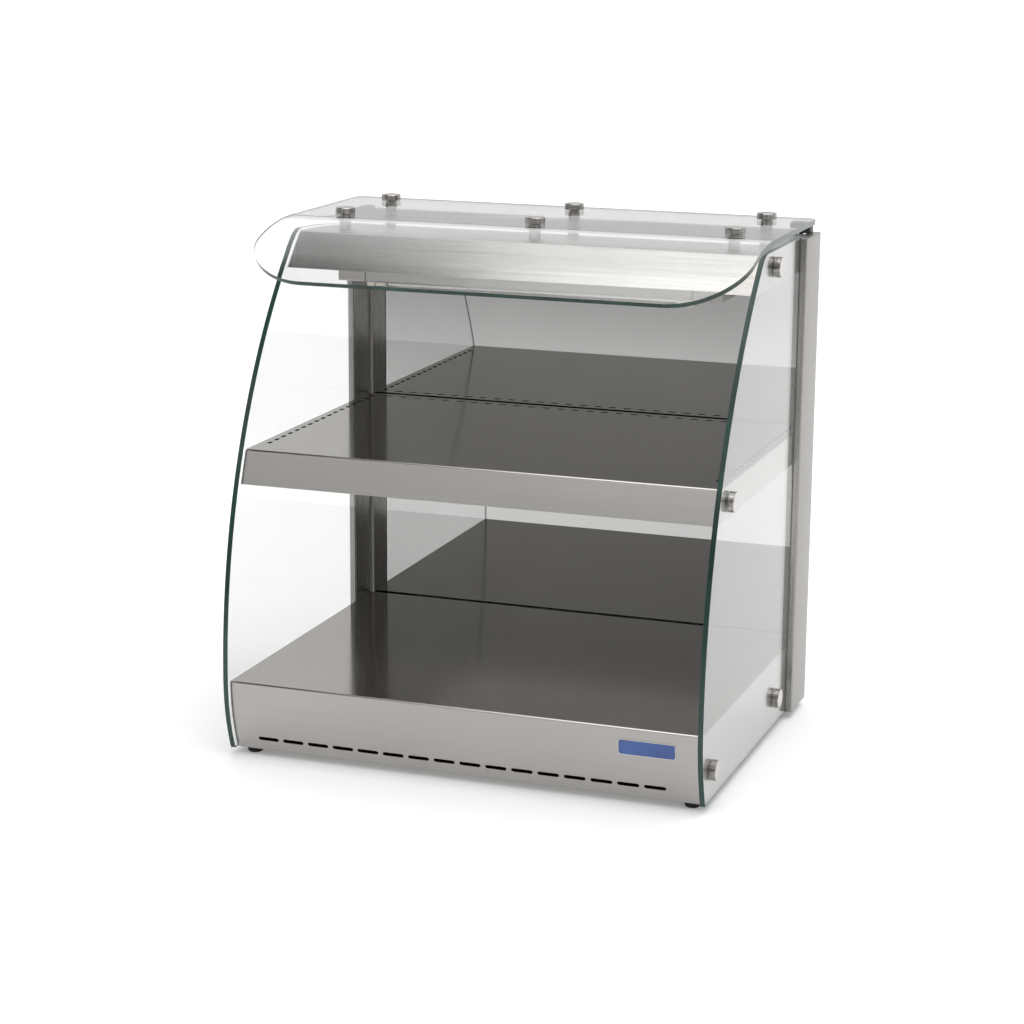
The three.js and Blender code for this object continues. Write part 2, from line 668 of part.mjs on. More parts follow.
function makeReflector() {
  const STEPS = 10;
  const { half, centreY: middle, lip, width, depth, sheet } = REFLECTOR;
  const line = [];
  for (let i = 0; i <= STEPS; i++) {
    const angle = Math.PI * (1 - i / STEPS);
    line.push([middle + (width / 2) * Math.cos(angle), lip + depth * Math.sin(angle)]);
  }
  return extrudeX(folded(line, sheet).reverse(), -half, half);
}

place("canopy_cover", makeCanopyCover(), brushed);
place("canopy_liner", makeCanopyLiner(), polished);
for (const [side, sign] of sides) {
  place(`canopy_end_${side}`, makeCanopyEnd(sign), brushed);
  place(`lamp_end_${side}`, makeLampEnd(sign), brushed);
}
place("lamp_housing", makeLampHousing(), brushed);
place("lamp_reflector", makeReflector(), polished);
place("lamp_tube", cylinderAlong("x", TUBE.radius, -TUBE.half, TUBE.half, 14), quartz, [0, TUBE.y, TUBE.z]);

// ---------------------------------------------------------------- mirrored rear door
const PIN = 3;
const PIN_BORE = 3.3;

function pinBore(z0, z1) {
  return cylinderAlong("z", PIN_BORE, z0 - OVERCUT, z1 + OVERCUT, 12).translate(HINGE_X, HINGE_Y, 0);
}

function makeDoorPanel() {
  const front = MIRROR_FRONT + MIRROR + FIT;
  const tray = box(-DOOR_HALF, DOOR_HALF, front, DOOR_REAR, DOOR_BOTTOM, DOOR_TOP);
  const hollow = box(-DOOR_HALF + SHEET, DOOR_HALF - SHEET, front - OVERCUT, DOOR_REAR - SHEET,
    DOOR_BOTTOM + SHEET, DOOR_TOP - SHEET);
  return cut(tray, [hollow, pinBore(DOOR_BOTTOM, DOOR_TOP)]);
}

const HANDLE = { x: -256, low: 290, high: 410, radius: 5.5, round: 10 };

function makeHandle() {
  const { x, low, high, radius, round } = HANDLE;
  const root = DOOR_REAR + FIT;
  const bar = HANDLE_REAR - radius;
  const corner = (a, b, c) => new THREE.QuadraticBezierCurve3(a, b, c);
  const at = (y, z) => new THREE.Vector3(x, y, z);
  const path = new THREE.CurvePath();
  path.add(new THREE.LineCurve3(at(root, low), at(bar - round, low)));
  path.add(corner(at(bar - round, low), at(bar, low), at(bar, low + round)));
  path.add(new THREE.LineCurve3(at(bar, low + round), at(bar, high - round)));
  path.add(corner(at(bar, high - round), at(bar, high), at(bar - round, high)));
  path.add(new THREE.LineCurve3(at(bar - round, high), at(root, high)));
  return tubeAlong(path, radius, 40, 10);
}

const hingeBlocks = {
  top: { z0: CANOPY_TOP + 0.8, z1: CANOPY_TOP + 8, y0: 430, y1: 450, x0: 266, x1: 291 },
  bottom: { z0: DOOR_BOTTOM - 10, z1: DOOR_BOTTOM - 0.6, y0: 430, y1: 450.5, x0: 268, x1: 286 },
};

function makeHingeBlock({ x0, x1, y0, y1, z0, z1 }) {
  return cut(box(x0, x1, y0, y1, z0, z1), [pinBore(z0, z1)]);
}

function makeMirror() {
  const half = DOOR_HALF - FIT;
  return box(-half, half, MIRROR_FRONT, MIRROR_FRONT + MIRROR, DOOR_BOTTOM + 2, DOOR_TOP - 1);
}

const MAGNET = { half: 20, rear: 446, bottom: DOOR_BOTTOM - 11, top: DOOR_BOTTOM - 1 };

function makeMagnet() {
  const { half, rear, bottom, top } = MAGNET;
  return box(-half, half, BODY_REAR + FIT, rear, bottom, top);
}

place("door_mirror", makeMirror(), mirrorGlass);
place("door_panel", makeDoorPanel(), brushed);
place("door_handle", makeHandle(), chrome);
place("door_magnet", makeMagnet(), blackPlastic, [HANDLE.x, 0, 0]);
const PIN_REACH = 8;             // into the door
const pinSpans = {
  top: [DOOR_TOP - PIN_REACH, hingeBlocks.top.z1 - 1],
  bottom: [hingeBlocks.bottom.z0 + 1, DOOR_BOTTOM + PIN_REACH],
};
for (const [end, [z0, z1]] of Object.entries(pinSpans)) {
  place(`hinge_block_${end}`, makeHingeBlock(hingeBlocks[end]), blackPlastic);
  place(`hinge_pin_${end}`, cylinderAlong("z", PIN, z0, z1, 12), chrome, [HINGE_X, HINGE_Y, 0]);
}

export default model;
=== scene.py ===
"""Looks for the countertop hot food display case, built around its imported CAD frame."""
import json
import math

import bmesh
import bpy
from mathutils import Matrix, Vector


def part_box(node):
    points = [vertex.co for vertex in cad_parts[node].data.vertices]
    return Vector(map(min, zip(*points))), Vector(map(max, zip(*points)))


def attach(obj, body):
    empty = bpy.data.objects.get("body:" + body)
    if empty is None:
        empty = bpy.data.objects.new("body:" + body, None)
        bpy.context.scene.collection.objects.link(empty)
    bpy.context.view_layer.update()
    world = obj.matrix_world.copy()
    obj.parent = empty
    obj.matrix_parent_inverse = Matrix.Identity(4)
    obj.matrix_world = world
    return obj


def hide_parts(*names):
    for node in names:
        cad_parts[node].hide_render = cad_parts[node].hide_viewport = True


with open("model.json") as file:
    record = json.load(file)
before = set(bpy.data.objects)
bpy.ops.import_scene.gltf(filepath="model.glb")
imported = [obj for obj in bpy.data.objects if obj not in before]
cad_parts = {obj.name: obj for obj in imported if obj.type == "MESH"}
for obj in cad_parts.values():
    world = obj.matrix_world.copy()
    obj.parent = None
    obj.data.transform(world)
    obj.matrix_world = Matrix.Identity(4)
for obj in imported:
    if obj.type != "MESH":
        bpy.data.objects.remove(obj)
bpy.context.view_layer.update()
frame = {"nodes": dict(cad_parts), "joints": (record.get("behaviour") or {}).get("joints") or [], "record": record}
scene = bpy.context.scene

# ---- driving dimensions, in metres
MM = 0.001
SHEET = 1.2 * MM                  # folded stainless sheet
ARC_HEIGHT = 97 * MM              # height of the centres of both front arcs
UPPER_ARC = 692 * MM
LOWER_ARC = 230 * MM
GLASS_LEAD = 5.5 * MM             # side glass in front of the sheet fronts
GLASS_CORNER = 12 * MM
GLASS_HOLE = 4.6 * MM
GLASS_BEVEL = 0.25 * MM
PART_GAP = 0.3 * MM               # clearance between pieces that touch
OVERCUT = 1 * MM                  # how far a cutter runs past the sheet that it cuts
OPEN_TOP = 10 * MM                # how far a hollow's cutter runs out of its open side
ROUND_SIDES = 24                  # sides of a small round hole

ROOF_FLAT = 206 * MM              # flat length of the top glass, rear edge to bend
ROOF_RADIUS = 278 * MM
ROOF_SWEEP = math.radians(36.4)
ROOF_CORNER = 84 * MM
ROOF_REAR_CORNER = 10 * MM
ROOF_THICKNESS = 6 * MM
ROOF_STEPS = 44                   # strips that follow the bend

VENT_COUNT = 16
VENT_PITCH = 31.75 * MM
VENT_SHIFT = -4.5 * MM
VENT_SIZE = (26 * MM, 4.6 * MM)
VENT_HEIGHT = 24.5 * MM

HOLE_PITCH = 19.5 * MM
HOLE_SIZE = (10.5 * MM, 4.8 * MM)
SIDE_HOLES = 17
SIDE_ROW_INSET = 11 * MM
SIDE_ROW_END = 19 * MM            # last side hole to the rear of the shelf
REAR_HOLES = 27
REAR_ROW_INSET = 12 * MM

CANOPY_BEND = 9 * MM
CANOPY_FLANGE = 14 * MM

UPRIGHT_WALL = 1.5 * MM
UPRIGHT_CORNERS = (1.8 * MM, 0.6 * MM)
PIN_BORE = 3.3 * MM

CAMERA_PLACE = Vector((1.0115, -2.8876, 1.0108))
CAMERA_YAW = math.radians(19.77)
CAMERA_PITCH = math.radians(13.74)
CAMERA_ROLL = math.radians(0.39)
CAMERA_LENS = 91.64
CAMERA_SHIFT = (0.0056, 0.0072)

# ---- what the frame says
slot_of = {row["node"]: row["material_slot"] for row in frame["record"]["subparts"]}
bodies = frame["record"]["behaviour"]["bodies"]
body_of = {node: body for body, nodes in bodies.items() for node in nodes}
SIDES = (("left", -1), ("right", 1))
SIDE_SPOTS = ("base_front", "base_rear", "shelf", "canopy")
TOP_SPOTS = [f"{row}_{spot}" for row in ("front", "rear") for spot in ("left", "middle", "right")]
rear_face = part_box("base_rear_panel")[1].y
front_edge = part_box("side_glass_right")[0].y + GLASS_LEAD
body_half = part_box("base_top_plate")[1].x


def front_y(z, lead=0.0):
    """Depth of the curved front at a height, moved forward by lead."""
    radius = LOWER_ARC if z < ARC_HEIGHT else UPPER_ARC
    return front_edge + radius - math.sqrt((radius + lead) ** 2 - (z - ARC_HEIGHT) ** 2)


def between(low, high, count):
    """Both ends and the even steps between them."""
    return [low + (high - low) * i / count for i in range(count + 1)]


def front_line(lead, low, high, count):
    """The curved front as (y, z) points, with one where its two arcs meet."""
    heights = between(low, high, count)
    if low < ARC_HEIGHT < high:
        heights = sorted(heights + [ARC_HEIGHT])
    return [(front_y(z, lead), z) for z in heights]


def arc(centre, radius, start, end, count):
    """Points round a centre; angles in degrees."""
    angles = [math.radians(a) for a in between(start, end, count)]
    return [(centre[0] + radius * math.cos(a), centre[1] + radius * math.sin(a)) for a in angles]


def circle(centre, radius, sides=ROUND_SIDES):
    return arc(centre, radius, 0, 360 * (sides - 1) / sides, sides - 1)


def centre_of(node):
    low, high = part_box(node)
    return (low + high) / 2


# ---- shapes
DIRECTIONS = {"x": (1, 0, 0), "y": (0, 1, 0), "z": (0, 0, 1)}


def spread(point, axis, along):
    """A 2D outline point put into space, with its outline's plane square to axis."""
    a, b = point
    return {"x": (along, a, b), "y": (a, along, b), "z": (a, b, along)}[axis]


def facing_out(bm):
    """Turns every face of a closed solid outwards."""
    bmesh.ops.recalc_face_normals(bm, faces=bm.faces)
    if bm.calc_volume(signed=True) < 0:
        bmesh.ops.reverse_faces(bm, faces=bm.faces)
    return bm


def prism(outline, axis, low, high):
    """A closed solid with one outline all along its length."""
    bm = bmesh.new()
    near = [bm.verts.new(spread(p, axis, low)) for p in outline]
    far = [bm.verts.new(spread(p, axis, high)) for p in outline]
    bm.faces.new(near)
    bm.faces.new(far)
    for i in range(len(outline)):
        j = (i + 1) % len(outline)
        bm.faces.new((near[i], near[j], far[j], far[i]))
    return facing_out(bm)


def rectangle(x0, x1, y0, y1, round_by=0.0, count=6):
    """A rectangle's outline, with rounded corners if asked."""
    if not round_by:
        return [(x0, y0), (x1, y0), (x1, y1), (x0, y1)]
    r = round_by
    return (arc((x1 - r, y0 + r), r, -90, 0, count) + arc((x1 - r, y1 - r), r, 0, 90, count)
            + arc((x0 + r, y1 - r), r, 90, 180, count) + arc((x0 + r, y0 + r), r, 180, 270, count))


def about(x, y, half_width, half_height):
    return rectangle(x - half_width, x + half_width, y - half_height, y + half_height)


def block(low, high):
    """A box between two corners."""
    return prism(rectangle(low[0], high[0], low[1], high[1]), "z", low[2], high[2])


def edged_plate(low, high, width=1.1 * MM):
    """A flat plate whose front top edge is ground off at a slant, which catches the light."""
    edge = [(low.y, high.z - width), (low.y + width, high.z)]
    return prism([(low.y, low.z)] + edge + [(high.y, high.z), (high.y, low.z)], "x", low.x, high.x)


def turned(profile, axis, centre, count=48):
    """A turned solid round an axis through centre; its (radius, along) profile starts and ends there."""
    bm = bmesh.new()
    rings = []
    for radius, along in profile:
        if radius == 0:
            rings.append([bm.verts.new(spread((0, 0), axis, along))])
            continue
        angles = [2 * math.pi * i / count for i in range(count)]
        points = [(radius * math.cos(a), radius * math.sin(a)) for a in angles]
        rings.append([bm.verts.new(spread(p, axis, along)) for p in points])
    for below, above in zip(rings, rings[1:]):
        for i in range(count):
            j = (i + 1) % count
            corners = [below[i % len(below)], below[j % len(below)]]
            corners += [above[j % len(above)], above[i % len(above)]]
            bm.faces.new([v for n, v in enumerate(corners) if v not in corners[:n]])
    offset = Vector(centre)
    offset["xyz".index(axis)] = 0
    bmesh.ops.translate(bm, verts=bm.verts, vec=offset)
    return facing_out(bm)


def tube(path, radius, sides=20):
    """A round bar along a path of points."""
    bm = bmesh.new()
    points = [Vector(p) for p in path]
    side = None
    rings = []
    for i, point in enumerate(points):
        ahead = (points[min(i + 1, len(points) - 1)] - points[max(i - 1, 0)]).normalized()
        if side is None:
            side = ahead.orthogonal().normalized()
        side = (side - ahead * side.dot(ahead)).normalized()
        other = ahead.cross(side)
        angles = [2 * math.pi * k / sides for k in range(sides)]
        offsets = [radius * (side * math.cos(a) + other * math.sin(a)) for a in angles]
        rings.append([bm.verts.new(point + offset) for offset in offsets])
    for below, above in zip(rings, rings[1:]):
        for k in range(sides):
            bm.faces.new((below[k], below[(k + 1) % sides], above[(k + 1) % sides], above[k]))
    bm.faces.new(rings[0])
    bm.faces.new(rings[-1])
    return facing_out(bm)


def merged(parts):
    """Several solids in one mesh, side by side."""
    whole = bmesh.new()
    for part in parts:
        mesh = bpy.data.meshes.new("part")
        part.to_mesh(mesh)
        part.free()
        whole.from_mesh(mesh)
        bpy.data.meshes.remove(mesh)
    return whole


def linked(name, data):
    """A new object in the scene."""
    obj = bpy.data.objects.new(name, data)
    scene.collection.objects.link(obj)
    return obj


def mesh_from(name, bm):
    mesh = bpy.data.meshes.new(name)
    bm.to_mesh(mesh)
    bm.free()
    return mesh


def carve(solid, cutters):
    """The solid with all cutters taken out of it."""
    target = linked("target", mesh_from("target", solid))
    tool = linked("tool", mesh_from("tool", merged(cutters)))
    cut = target.modifiers.new("cut", "BOOLEAN")
    cut.object = tool
    cut.operation = "DIFFERENCE"
    cut.solver = "EXACT"
    result = bmesh.new()
    evaluated = target.evaluated_get(bpy.context.evaluated_depsgraph_get())
    result.from_mesh(evaluated.to_mesh())
    evaluated.to_mesh_clear()
    for obj in (target, tool):
        mesh = obj.data
        bpy.data.objects.remove(obj)
        bpy.data.meshes.remove(mesh)
    bmesh.ops.dissolve_degenerate(result, dist=1e-6, edges=result.edges)
    return result


def stadium(length, height, count=8):
    """A slot's outline: a bar with round ends, about its centre."""
    r = min(length, height) / 2
    if length >= height:
        return arc((length / 2 - r, 0), r, -90, 90, count) + arc((r - length / 2, 0), r, 90, 270, count)
    return arc((0, height / 2 - r), r, 0, 180, count) + arc((0, r - height / 2), r, 180, 360, count)


def cut_across(bm, axis, places):
    """Adds a line of edges all round a mesh at each place along an axis."""
    normal = DIRECTIONS[axis]
    for place in places:
        everything = bm.verts[:] + bm.edges[:] + bm.faces[:]
        bmesh.ops.bisect_plane(bm, geom=everything, plane_co=Vector(normal) * place, plane_no=normal)


def shade_openings(bm, axis, margin=2 * MM):
    """Gives the walls of a plate's openings the second material; its outer rim keeps the first."""
    skip = "xyz".index(axis)
    rows = [i for i in range(3) if i != skip]
    low = [min(v.co[i] for v in bm.verts) + margin for i in rows]
    high = [max(v.co[i] for v in bm.verts) - margin for i in rows]
    bm.normal_update()
    for face in bm.faces:
        place = face.calc_center_median()
        within = all(low[n] < place[i] < high[n] for n, i in enumerate(rows))
        face.material_index = 1 if within and abs(face.normal[skip]) < 0.5 else 0
    return bm


def moved(outline, dx, dy):
    return [(x + dx, y + dy) for x, y in outline]


def sheet_outline(line, thickness):
    """Both faces of a sheet whose outer line is given; the sheet lies on the line's right."""
    inner = []
    for i, (a, b) in enumerate(line):
        before = line[max(i - 1, 0)]
        after = line[min(i + 1, len(line) - 1)]
        normals = []
        for start, end in ((before, (a, b)), ((a, b), after)):
            length = math.hypot(end[0] - start[0], end[1] - start[1])
            if length:
                normals.append(((end[1] - start[1]) / length, (start[0] - end[0]) / length))
        total = (sum(n[0] for n in normals), sum(n[1] for n in normals))
        scale = thickness * len(normals) / (total[0] ** 2 + total[1] ** 2)
        inner.append((a + total[0] * scale, b + total[1] * scale))
    return line + inner[::-1]


def add_piece(name, bm, body, materials, slot=None, bevel=0.0, sharp=32, bevel_material=-1):
    """Makes the object, smooth but for its sharp edges, and lets it ride on a CAD body."""
    for face in bm.faces:
        face.smooth = True
    for edge in bm.edges:
        edge.smooth = len(edge.link_faces) == 2 and edge.calc_face_angle(0) < math.radians(sharp)
    mesh = mesh_from(name, bm)
    for material in materials:
        mesh.materials.append(material)
    obj = linked(name, mesh)
    if bevel:
        edge_bevel = obj.modifiers.new("edges", "BEVEL")
        edge_bevel.width = bevel
        edge_bevel.segments = 3
        edge_bevel.limit_method = "ANGLE"
        edge_bevel.angle_limit = math.radians(40)
        edge_bevel.harden_normals = True
        edge_bevel.material = bevel_material
    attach(obj, body)
    return obj


def fine(node, bm, materials, **options):
    """A detailed piece that stands for a CAD node, on the same body."""
    obj = add_piece(f"{node}_fine", bm, body_of[node], materials, slot=slot_of[node], **options)
    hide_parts(node)
    return obj


# ---- materials
NOISE_SPAN = (0.3, 0.7)           # where nearly all of a noise lies


def map_range(tree, source, start, end, low, high, interpolation):
    node = tree.nodes.new("ShaderNodeMapRange")
    node.interpolation_type = interpolation
    node.inputs["From Min"].default_value = start
    node.inputs["From Max"].default_value = end
    node.inputs["To Min"].default_value = low
    node.inputs["To Max"].default_value = high
    tree.links.new(source, node.inputs["Value"])
    return node.outputs["Result"]


class Nodes:
    """A material's node tree, with short calls for the nodes used here."""

    def __init__(self, name):
        self.material = bpy.data.materials.new(name)
        self.material.use_nodes = True
        self.tree = self.material.node_tree
        self.shader = self.tree.nodes["Principled BSDF"]
        self.output = self.tree.nodes["Material Output"]
        self.place = self.add("ShaderNodeTexCoord").outputs["Object"]

    def add(self, kind, **settings):
        node = self.tree.nodes.new(kind)
        for key, value in settings.items():
            setattr(node, key, value)
        return node

    def link(self, source, target):
        self.tree.links.new(source, target)

    def set(self, **values):
        for key, value in values.items():
            socket = key.replace("_", " ").title().replace("Ior", "IOR")
            self.shader.inputs[socket].default_value = value

    def roughness(self, source, low, high):
        self.link(self.range(source, low, high), self.shader.inputs["Roughness"])

    def noise(self, stretch=(1, 1, 1), detail=3.0, roughness=0.55):
        mapping = self.add("ShaderNodeMapping")
        mapping.inputs["Scale"].default_value = stretch
        self.link(self.place, mapping.inputs["Vector"])
        noise = self.add("ShaderNodeTexNoise")
        noise.inputs["Scale"].default_value = 1
        noise.inputs["Detail"].default_value = detail
        noise.inputs["Roughness"].default_value = roughness
        self.link(mapping.outputs["Vector"], noise.inputs["Vector"])
        return noise.outputs["Fac"]

    def range(self, source, low, high):
        """The useful middle of a noise, spread from low to high."""
        return map_range(self.tree, source, *NOISE_SPAN, low, high, "LINEAR")

    def colours(self, source, first, second):
        node = self.add("ShaderNodeMix", data_type="RGBA")
        self.link(self.range(source, 0, 1), node.inputs["Factor"])
        for socket, colour in ((node.inputs[6], first), (node.inputs[7], second)):
            socket.default_value = (*colour, 1)
        self.link(node.outputs[2], self.shader.inputs["Base Color"])

    def bump(self, source, strength, distance):
        node = self.add("ShaderNodeBump")
        node.inputs["Strength"].default_value = strength
        node.inputs["Distance"].default_value = distance
        self.link(source, node.inputs["Height"])
        self.link(node.outputs["Normal"], self.shader.inputs["Normal"])

    def average(self, a, b, share=0.5):
        node = self.add("ShaderNodeMix", data_type="FLOAT")
        node.inputs["Factor"].default_value = share
        self.link(a, node.inputs[2])
        self.link(b, node.inputs[3])
        return node.outputs[0]


def shade(colour, factor):
    return tuple(min(1.0, channel * factor) for channel in colour)


STREAKS = {"x": (5, 900, 900), "y": (900, 5, 900), "z": (900, 900, 5)}
BANDS = {"x": (1.5, 160, 160), "y": (160, 1.5, 160), "z": (160, 160, 1.5)}
# Painted reflections on the fixing heads: noise stretched along each head's axis gives dark and light bands round
# it.
HEAD_REFLECTION_BANDS = {"x": (15, 420, 420), "z": (420, 420, 15)}
HEAD_RINGS = {"x": (1500, 40, 40), "z": (40, 40, 1500)}


def steel(name, colour, roughness, along, anisotropy=0.6, relief=0.12, contrast=0.06):
    """Stainless sheet with its brushing along one axis."""
    n = Nodes(name)
    streaks = n.noise(STREAKS[along], detail=4)
    bands = n.noise(BANDS[along], detail=3)
    smudges = n.noise((7, 7, 7), detail=2)
    grain = n.average(streaks, bands, 0.3)
    cloud = n.average(grain, smudges, 0.3)
    n.colours(cloud, shade(colour, 1 - contrast), shade(colour, 1 + contrast))
    n.roughness(grain, roughness * 0.92, roughness * 1.08)
    n.bump(streaks, relief, 0.02 * MM)
    n.set(metallic=1.0, anisotropic=anisotropy, anisotropic_rotation=0.25)
    direction = n.add("ShaderNodeVectorTransform", vector_type="VECTOR",
                      convert_from="OBJECT", convert_to="WORLD")
    direction.inputs["Vector"].default_value = DIRECTIONS[along]
    n.link(direction.outputs["Vector"], n.shader.inputs["Tangent"])
    return n.material


def polished_metal(name, colour, roughness):
    """Turned and polished metal, with faint rings left by the lathe."""
    n = Nodes(name)
    rings = n.noise((700, 700, 700), detail=2)
    cloud = n.noise((60, 60, 60), detail=2)
    n.colours(cloud, shade(colour, 0.92), shade(colour, 1.06))
    n.roughness(n.average(rings, cloud), roughness * 0.7, roughness * 1.4)
    n.bump(rings, 0.03, 0.02 * MM)
    n.set(metallic=1.0)
    return n.material


def fixing_metal(name, along):
    """The turned heads of the glass fixings, with broad dark and light painted reflections in bands along their
    axis.
    """
    n = Nodes(name)
    # Painted reflection: these streaks stand in for the studio reflected round the head, as dark and light bands
    # along its axis.
    streaks = n.noise(HEAD_REFLECTION_BANDS[along], detail=2)
    lathe = n.noise(HEAD_RINGS[along], detail=2)
    # The head's colour is three parts painted reflection bands to one part lathe-ring tone.
    n.colours(n.average(streaks, lathe, 0.25), (0.13, 0.118, 0.108), (0.62, 0.6, 0.58))
    n.roughness(lathe, 0.16, 0.3)
    n.bump(lathe, 0.1, 0.03 * MM)
    n.set(metallic=1.0)
    return n.material


def let_lamps_through(n, tint):
    """Rays from lamps pass straight through, so that what is behind the glass is lit."""
    path = n.add("ShaderNodeLightPath")
    clear = n.add("ShaderNodeBsdfTransparent")
    clear.inputs["Color"].default_value = (*tint, 1)
    mix = n.add("ShaderNodeMixShader")
    n.link(path.outputs["Is Shadow Ray"], mix.inputs[0])
    n.link(n.shader.outputs[0], mix.inputs[1])
    n.link(clear.outputs[0], mix.inputs[2])
    n.link(mix.outputs[0], n.output.inputs["Surface"])


def glass(name, tint):
    """Clear, perfectly smooth glass with a very faint uneven tint."""
    n = Nodes(name)
    film = n.noise((14, 14, 5), detail=4)
    n.colours(film, shade(tint, 0.985), tint)
    n.set(roughness=0.0, ior=1.5, transmission_weight=1.0)
    let_lamps_through(n, tint)
    return n.material


def glass_edge():
    """The ground edge of float glass: deep green, lighter where light gathers."""
    n = Nodes("glass_edge")
    gather = n.noise((30, 30, 9), detail=3)
    grinding = n.noise((1500, 1500, 200), detail=2)
    n.colours(gather, (0.004, 0.02, 0.015), (0.014, 0.055, 0.041))
    n.roughness(grinding, 0.12, 0.3)
    n.bump(grinding, 0.1, 0.03 * MM)
    n.set(ior=1.5)
    return n.material


def mirror():
    """Silver behind glass, a little grey."""
    n = Nodes("mirror")
    silver = n.noise((9, 9, 9), detail=3)
    n.colours(silver, (0.455, 0.458, 0.448), (0.48, 0.483, 0.473))
    n.roughness(silver, 0.0, 0.02)
    n.set(metallic=1.0)
    return n.material


def plastic(name, colour, roughness, grain=900):
    """Moulded plastic or rubber with a fine spark-eroded grain."""
    n = Nodes(name)
    fine_grain = n.noise((grain, grain, grain), detail=2)
    wear = n.noise((40, 40, 40), detail=3)
    n.colours(wear, shade(colour, 0.8), shade(colour, 1.25))
    n.roughness(n.average(fine_grain, wear), roughness * 0.8, roughness * 1.2)
    n.bump(fine_grain, 0.25, 0.05 * MM)
    return n.material


def lens(name, colour):
    """Translucent coloured plastic."""
    n = Nodes(name)
    depth = n.noise((90, 90, 90), detail=2)
    n.colours(depth, shade(colour, 0.75), shade(colour, 1.2))
    n.roughness(depth, 0.12, 0.22)
    n.set(transmission_weight=0.35, ior=1.46)
    return n.material


def enamel(name, colour):
    """Coloured enamel under a clear gloss."""
    n = Nodes(name)
    cloud = n.noise((25, 25, 25), detail=2)
    n.colours(cloud, shade(colour, 0.8), shade(colour, 1.3))
    n.roughness(cloud, 0.15, 0.25)
    n.set(coat_weight=0.6, coat_roughness=0.05)
    return n.material


SATIN = (0.42, 0.406, 0.388)
DARK_SATIN = (0.31, 0.3, 0.287)
LIGHT_SATIN = (0.49, 0.475, 0.455)
BRIGHT = (0.475, 0.45, 0.425)
# Painted shade: a darker copy of the canopy steel, used only on the canopy's flat top.
SHADED_ROOF_STEEL = (0.36, 0.355, 0.35)
DULL = (0.4, 0.395, 0.385)
brushed_x = steel("brushed_x", SATIN, 0.3, "x", anisotropy=0.8, relief=0.06)
brushed_z = steel("brushed_z", DARK_SATIN, 0.27, "z", anisotropy=0.7, relief=0.05)
brushed_shelf = steel("brushed_shelf", LIGHT_SATIN, 0.3, "x", anisotropy=0.8, relief=0.06)
brushed_canopy = steel("brushed_canopy", SATIN, 0.2, "x", anisotropy=0.8, relief=0.05, contrast=0.26)
brushed_roof_painted_shade = steel("brushed_roof_painted_shade", SHADED_ROOF_STEEL, 0.3, "x", anisotropy=0.6, relief=0.03)
polished_x = steel("polished_x", BRIGHT, 0.13, "x", anisotropy=0.45, relief=0.02)
dull_x = steel("dull_x", DULL, 0.42, "x", anisotropy=0.3)
chrome = polished_metal("chrome", (0.52, 0.505, 0.49), 0.15)
head_x = fixing_metal("fixing_head_x", "x")
head_z = fixing_metal("fixing_head_z", "z")
wire = polished_metal("wire", (0.35, 0.33, 0.3), 0.35)
clear = glass("clear_glass", (0.988, 0.997, 0.994))
edge_green = glass_edge()
quartz = glass("quartz", (0.99, 0.985, 0.97))
silvered = mirror()
slot_shade = plastic("slot_shade", (0.008, 0.007, 0.007), 0.8, grain=300)
rubber = plastic("rubber", (0.012, 0.012, 0.012), 0.75, grain=500)
black = plastic("black_plastic", (0.018, 0.018, 0.019), 0.4)
white_mark = plastic("white_marking", (0.62, 0.62, 0.6), 0.5)
ceramic = plastic("ceramic", (0.75, 0.71, 0.64), 0.6, grain=400)
board = plastic("insulation", (0.5, 0.44, 0.32), 0.9, grain=200)
amber = lens("amber_lens", (0.8, 0.32, 0.04))
plate_blue = enamel("plate_blue", (0.02, 0.07, 0.27))


# ---- glass
def face_or_edge(bm, axis):
    """Faces square to the axis take the first material and the rim takes the second."""
    index = "xyz".index(axis)
    for face in bm.faces:
        face.material_index = 0 if abs(face.normal[index]) > 0.9 else 1


def make_side_glass(side):
    node = f"side_glass_{side}"
    low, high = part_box(node)
    front = front_line(GLASS_LEAD, low.z, high.z - GLASS_CORNER, 80)
    corner_y = front_y(high.z, GLASS_LEAD)
    start = Vector(front[-1])
    corner = Vector((corner_y, high.z))
    end = Vector((corner_y + GLASS_CORNER, high.z))
    rounding = []
    for t in between(0, 1, 10)[1:]:
        rounding.append(tuple(start * (1 - t) ** 2 + corner * 2 * t * (1 - t) + end * t ** 2))
    pane = prism(front + rounding + [(high.y, high.z), (high.y, low.z)], "x", low.x, high.x)
    holes = []
    for spot in SIDE_SPOTS:
        place = centre_of(f"glass_fixing_{spot}_{side}")
        hole = circle((place.y, place.z), GLASS_HOLE)
        holes.append(prism(hole, "x", low.x - OVERCUT, high.x + OVERCUT))
    pane = carve(pane, holes)
    face_or_edge(pane, "x")
    fine(node, pane, [clear, edge_green], bevel=GLASS_BEVEL, bevel_material=1)


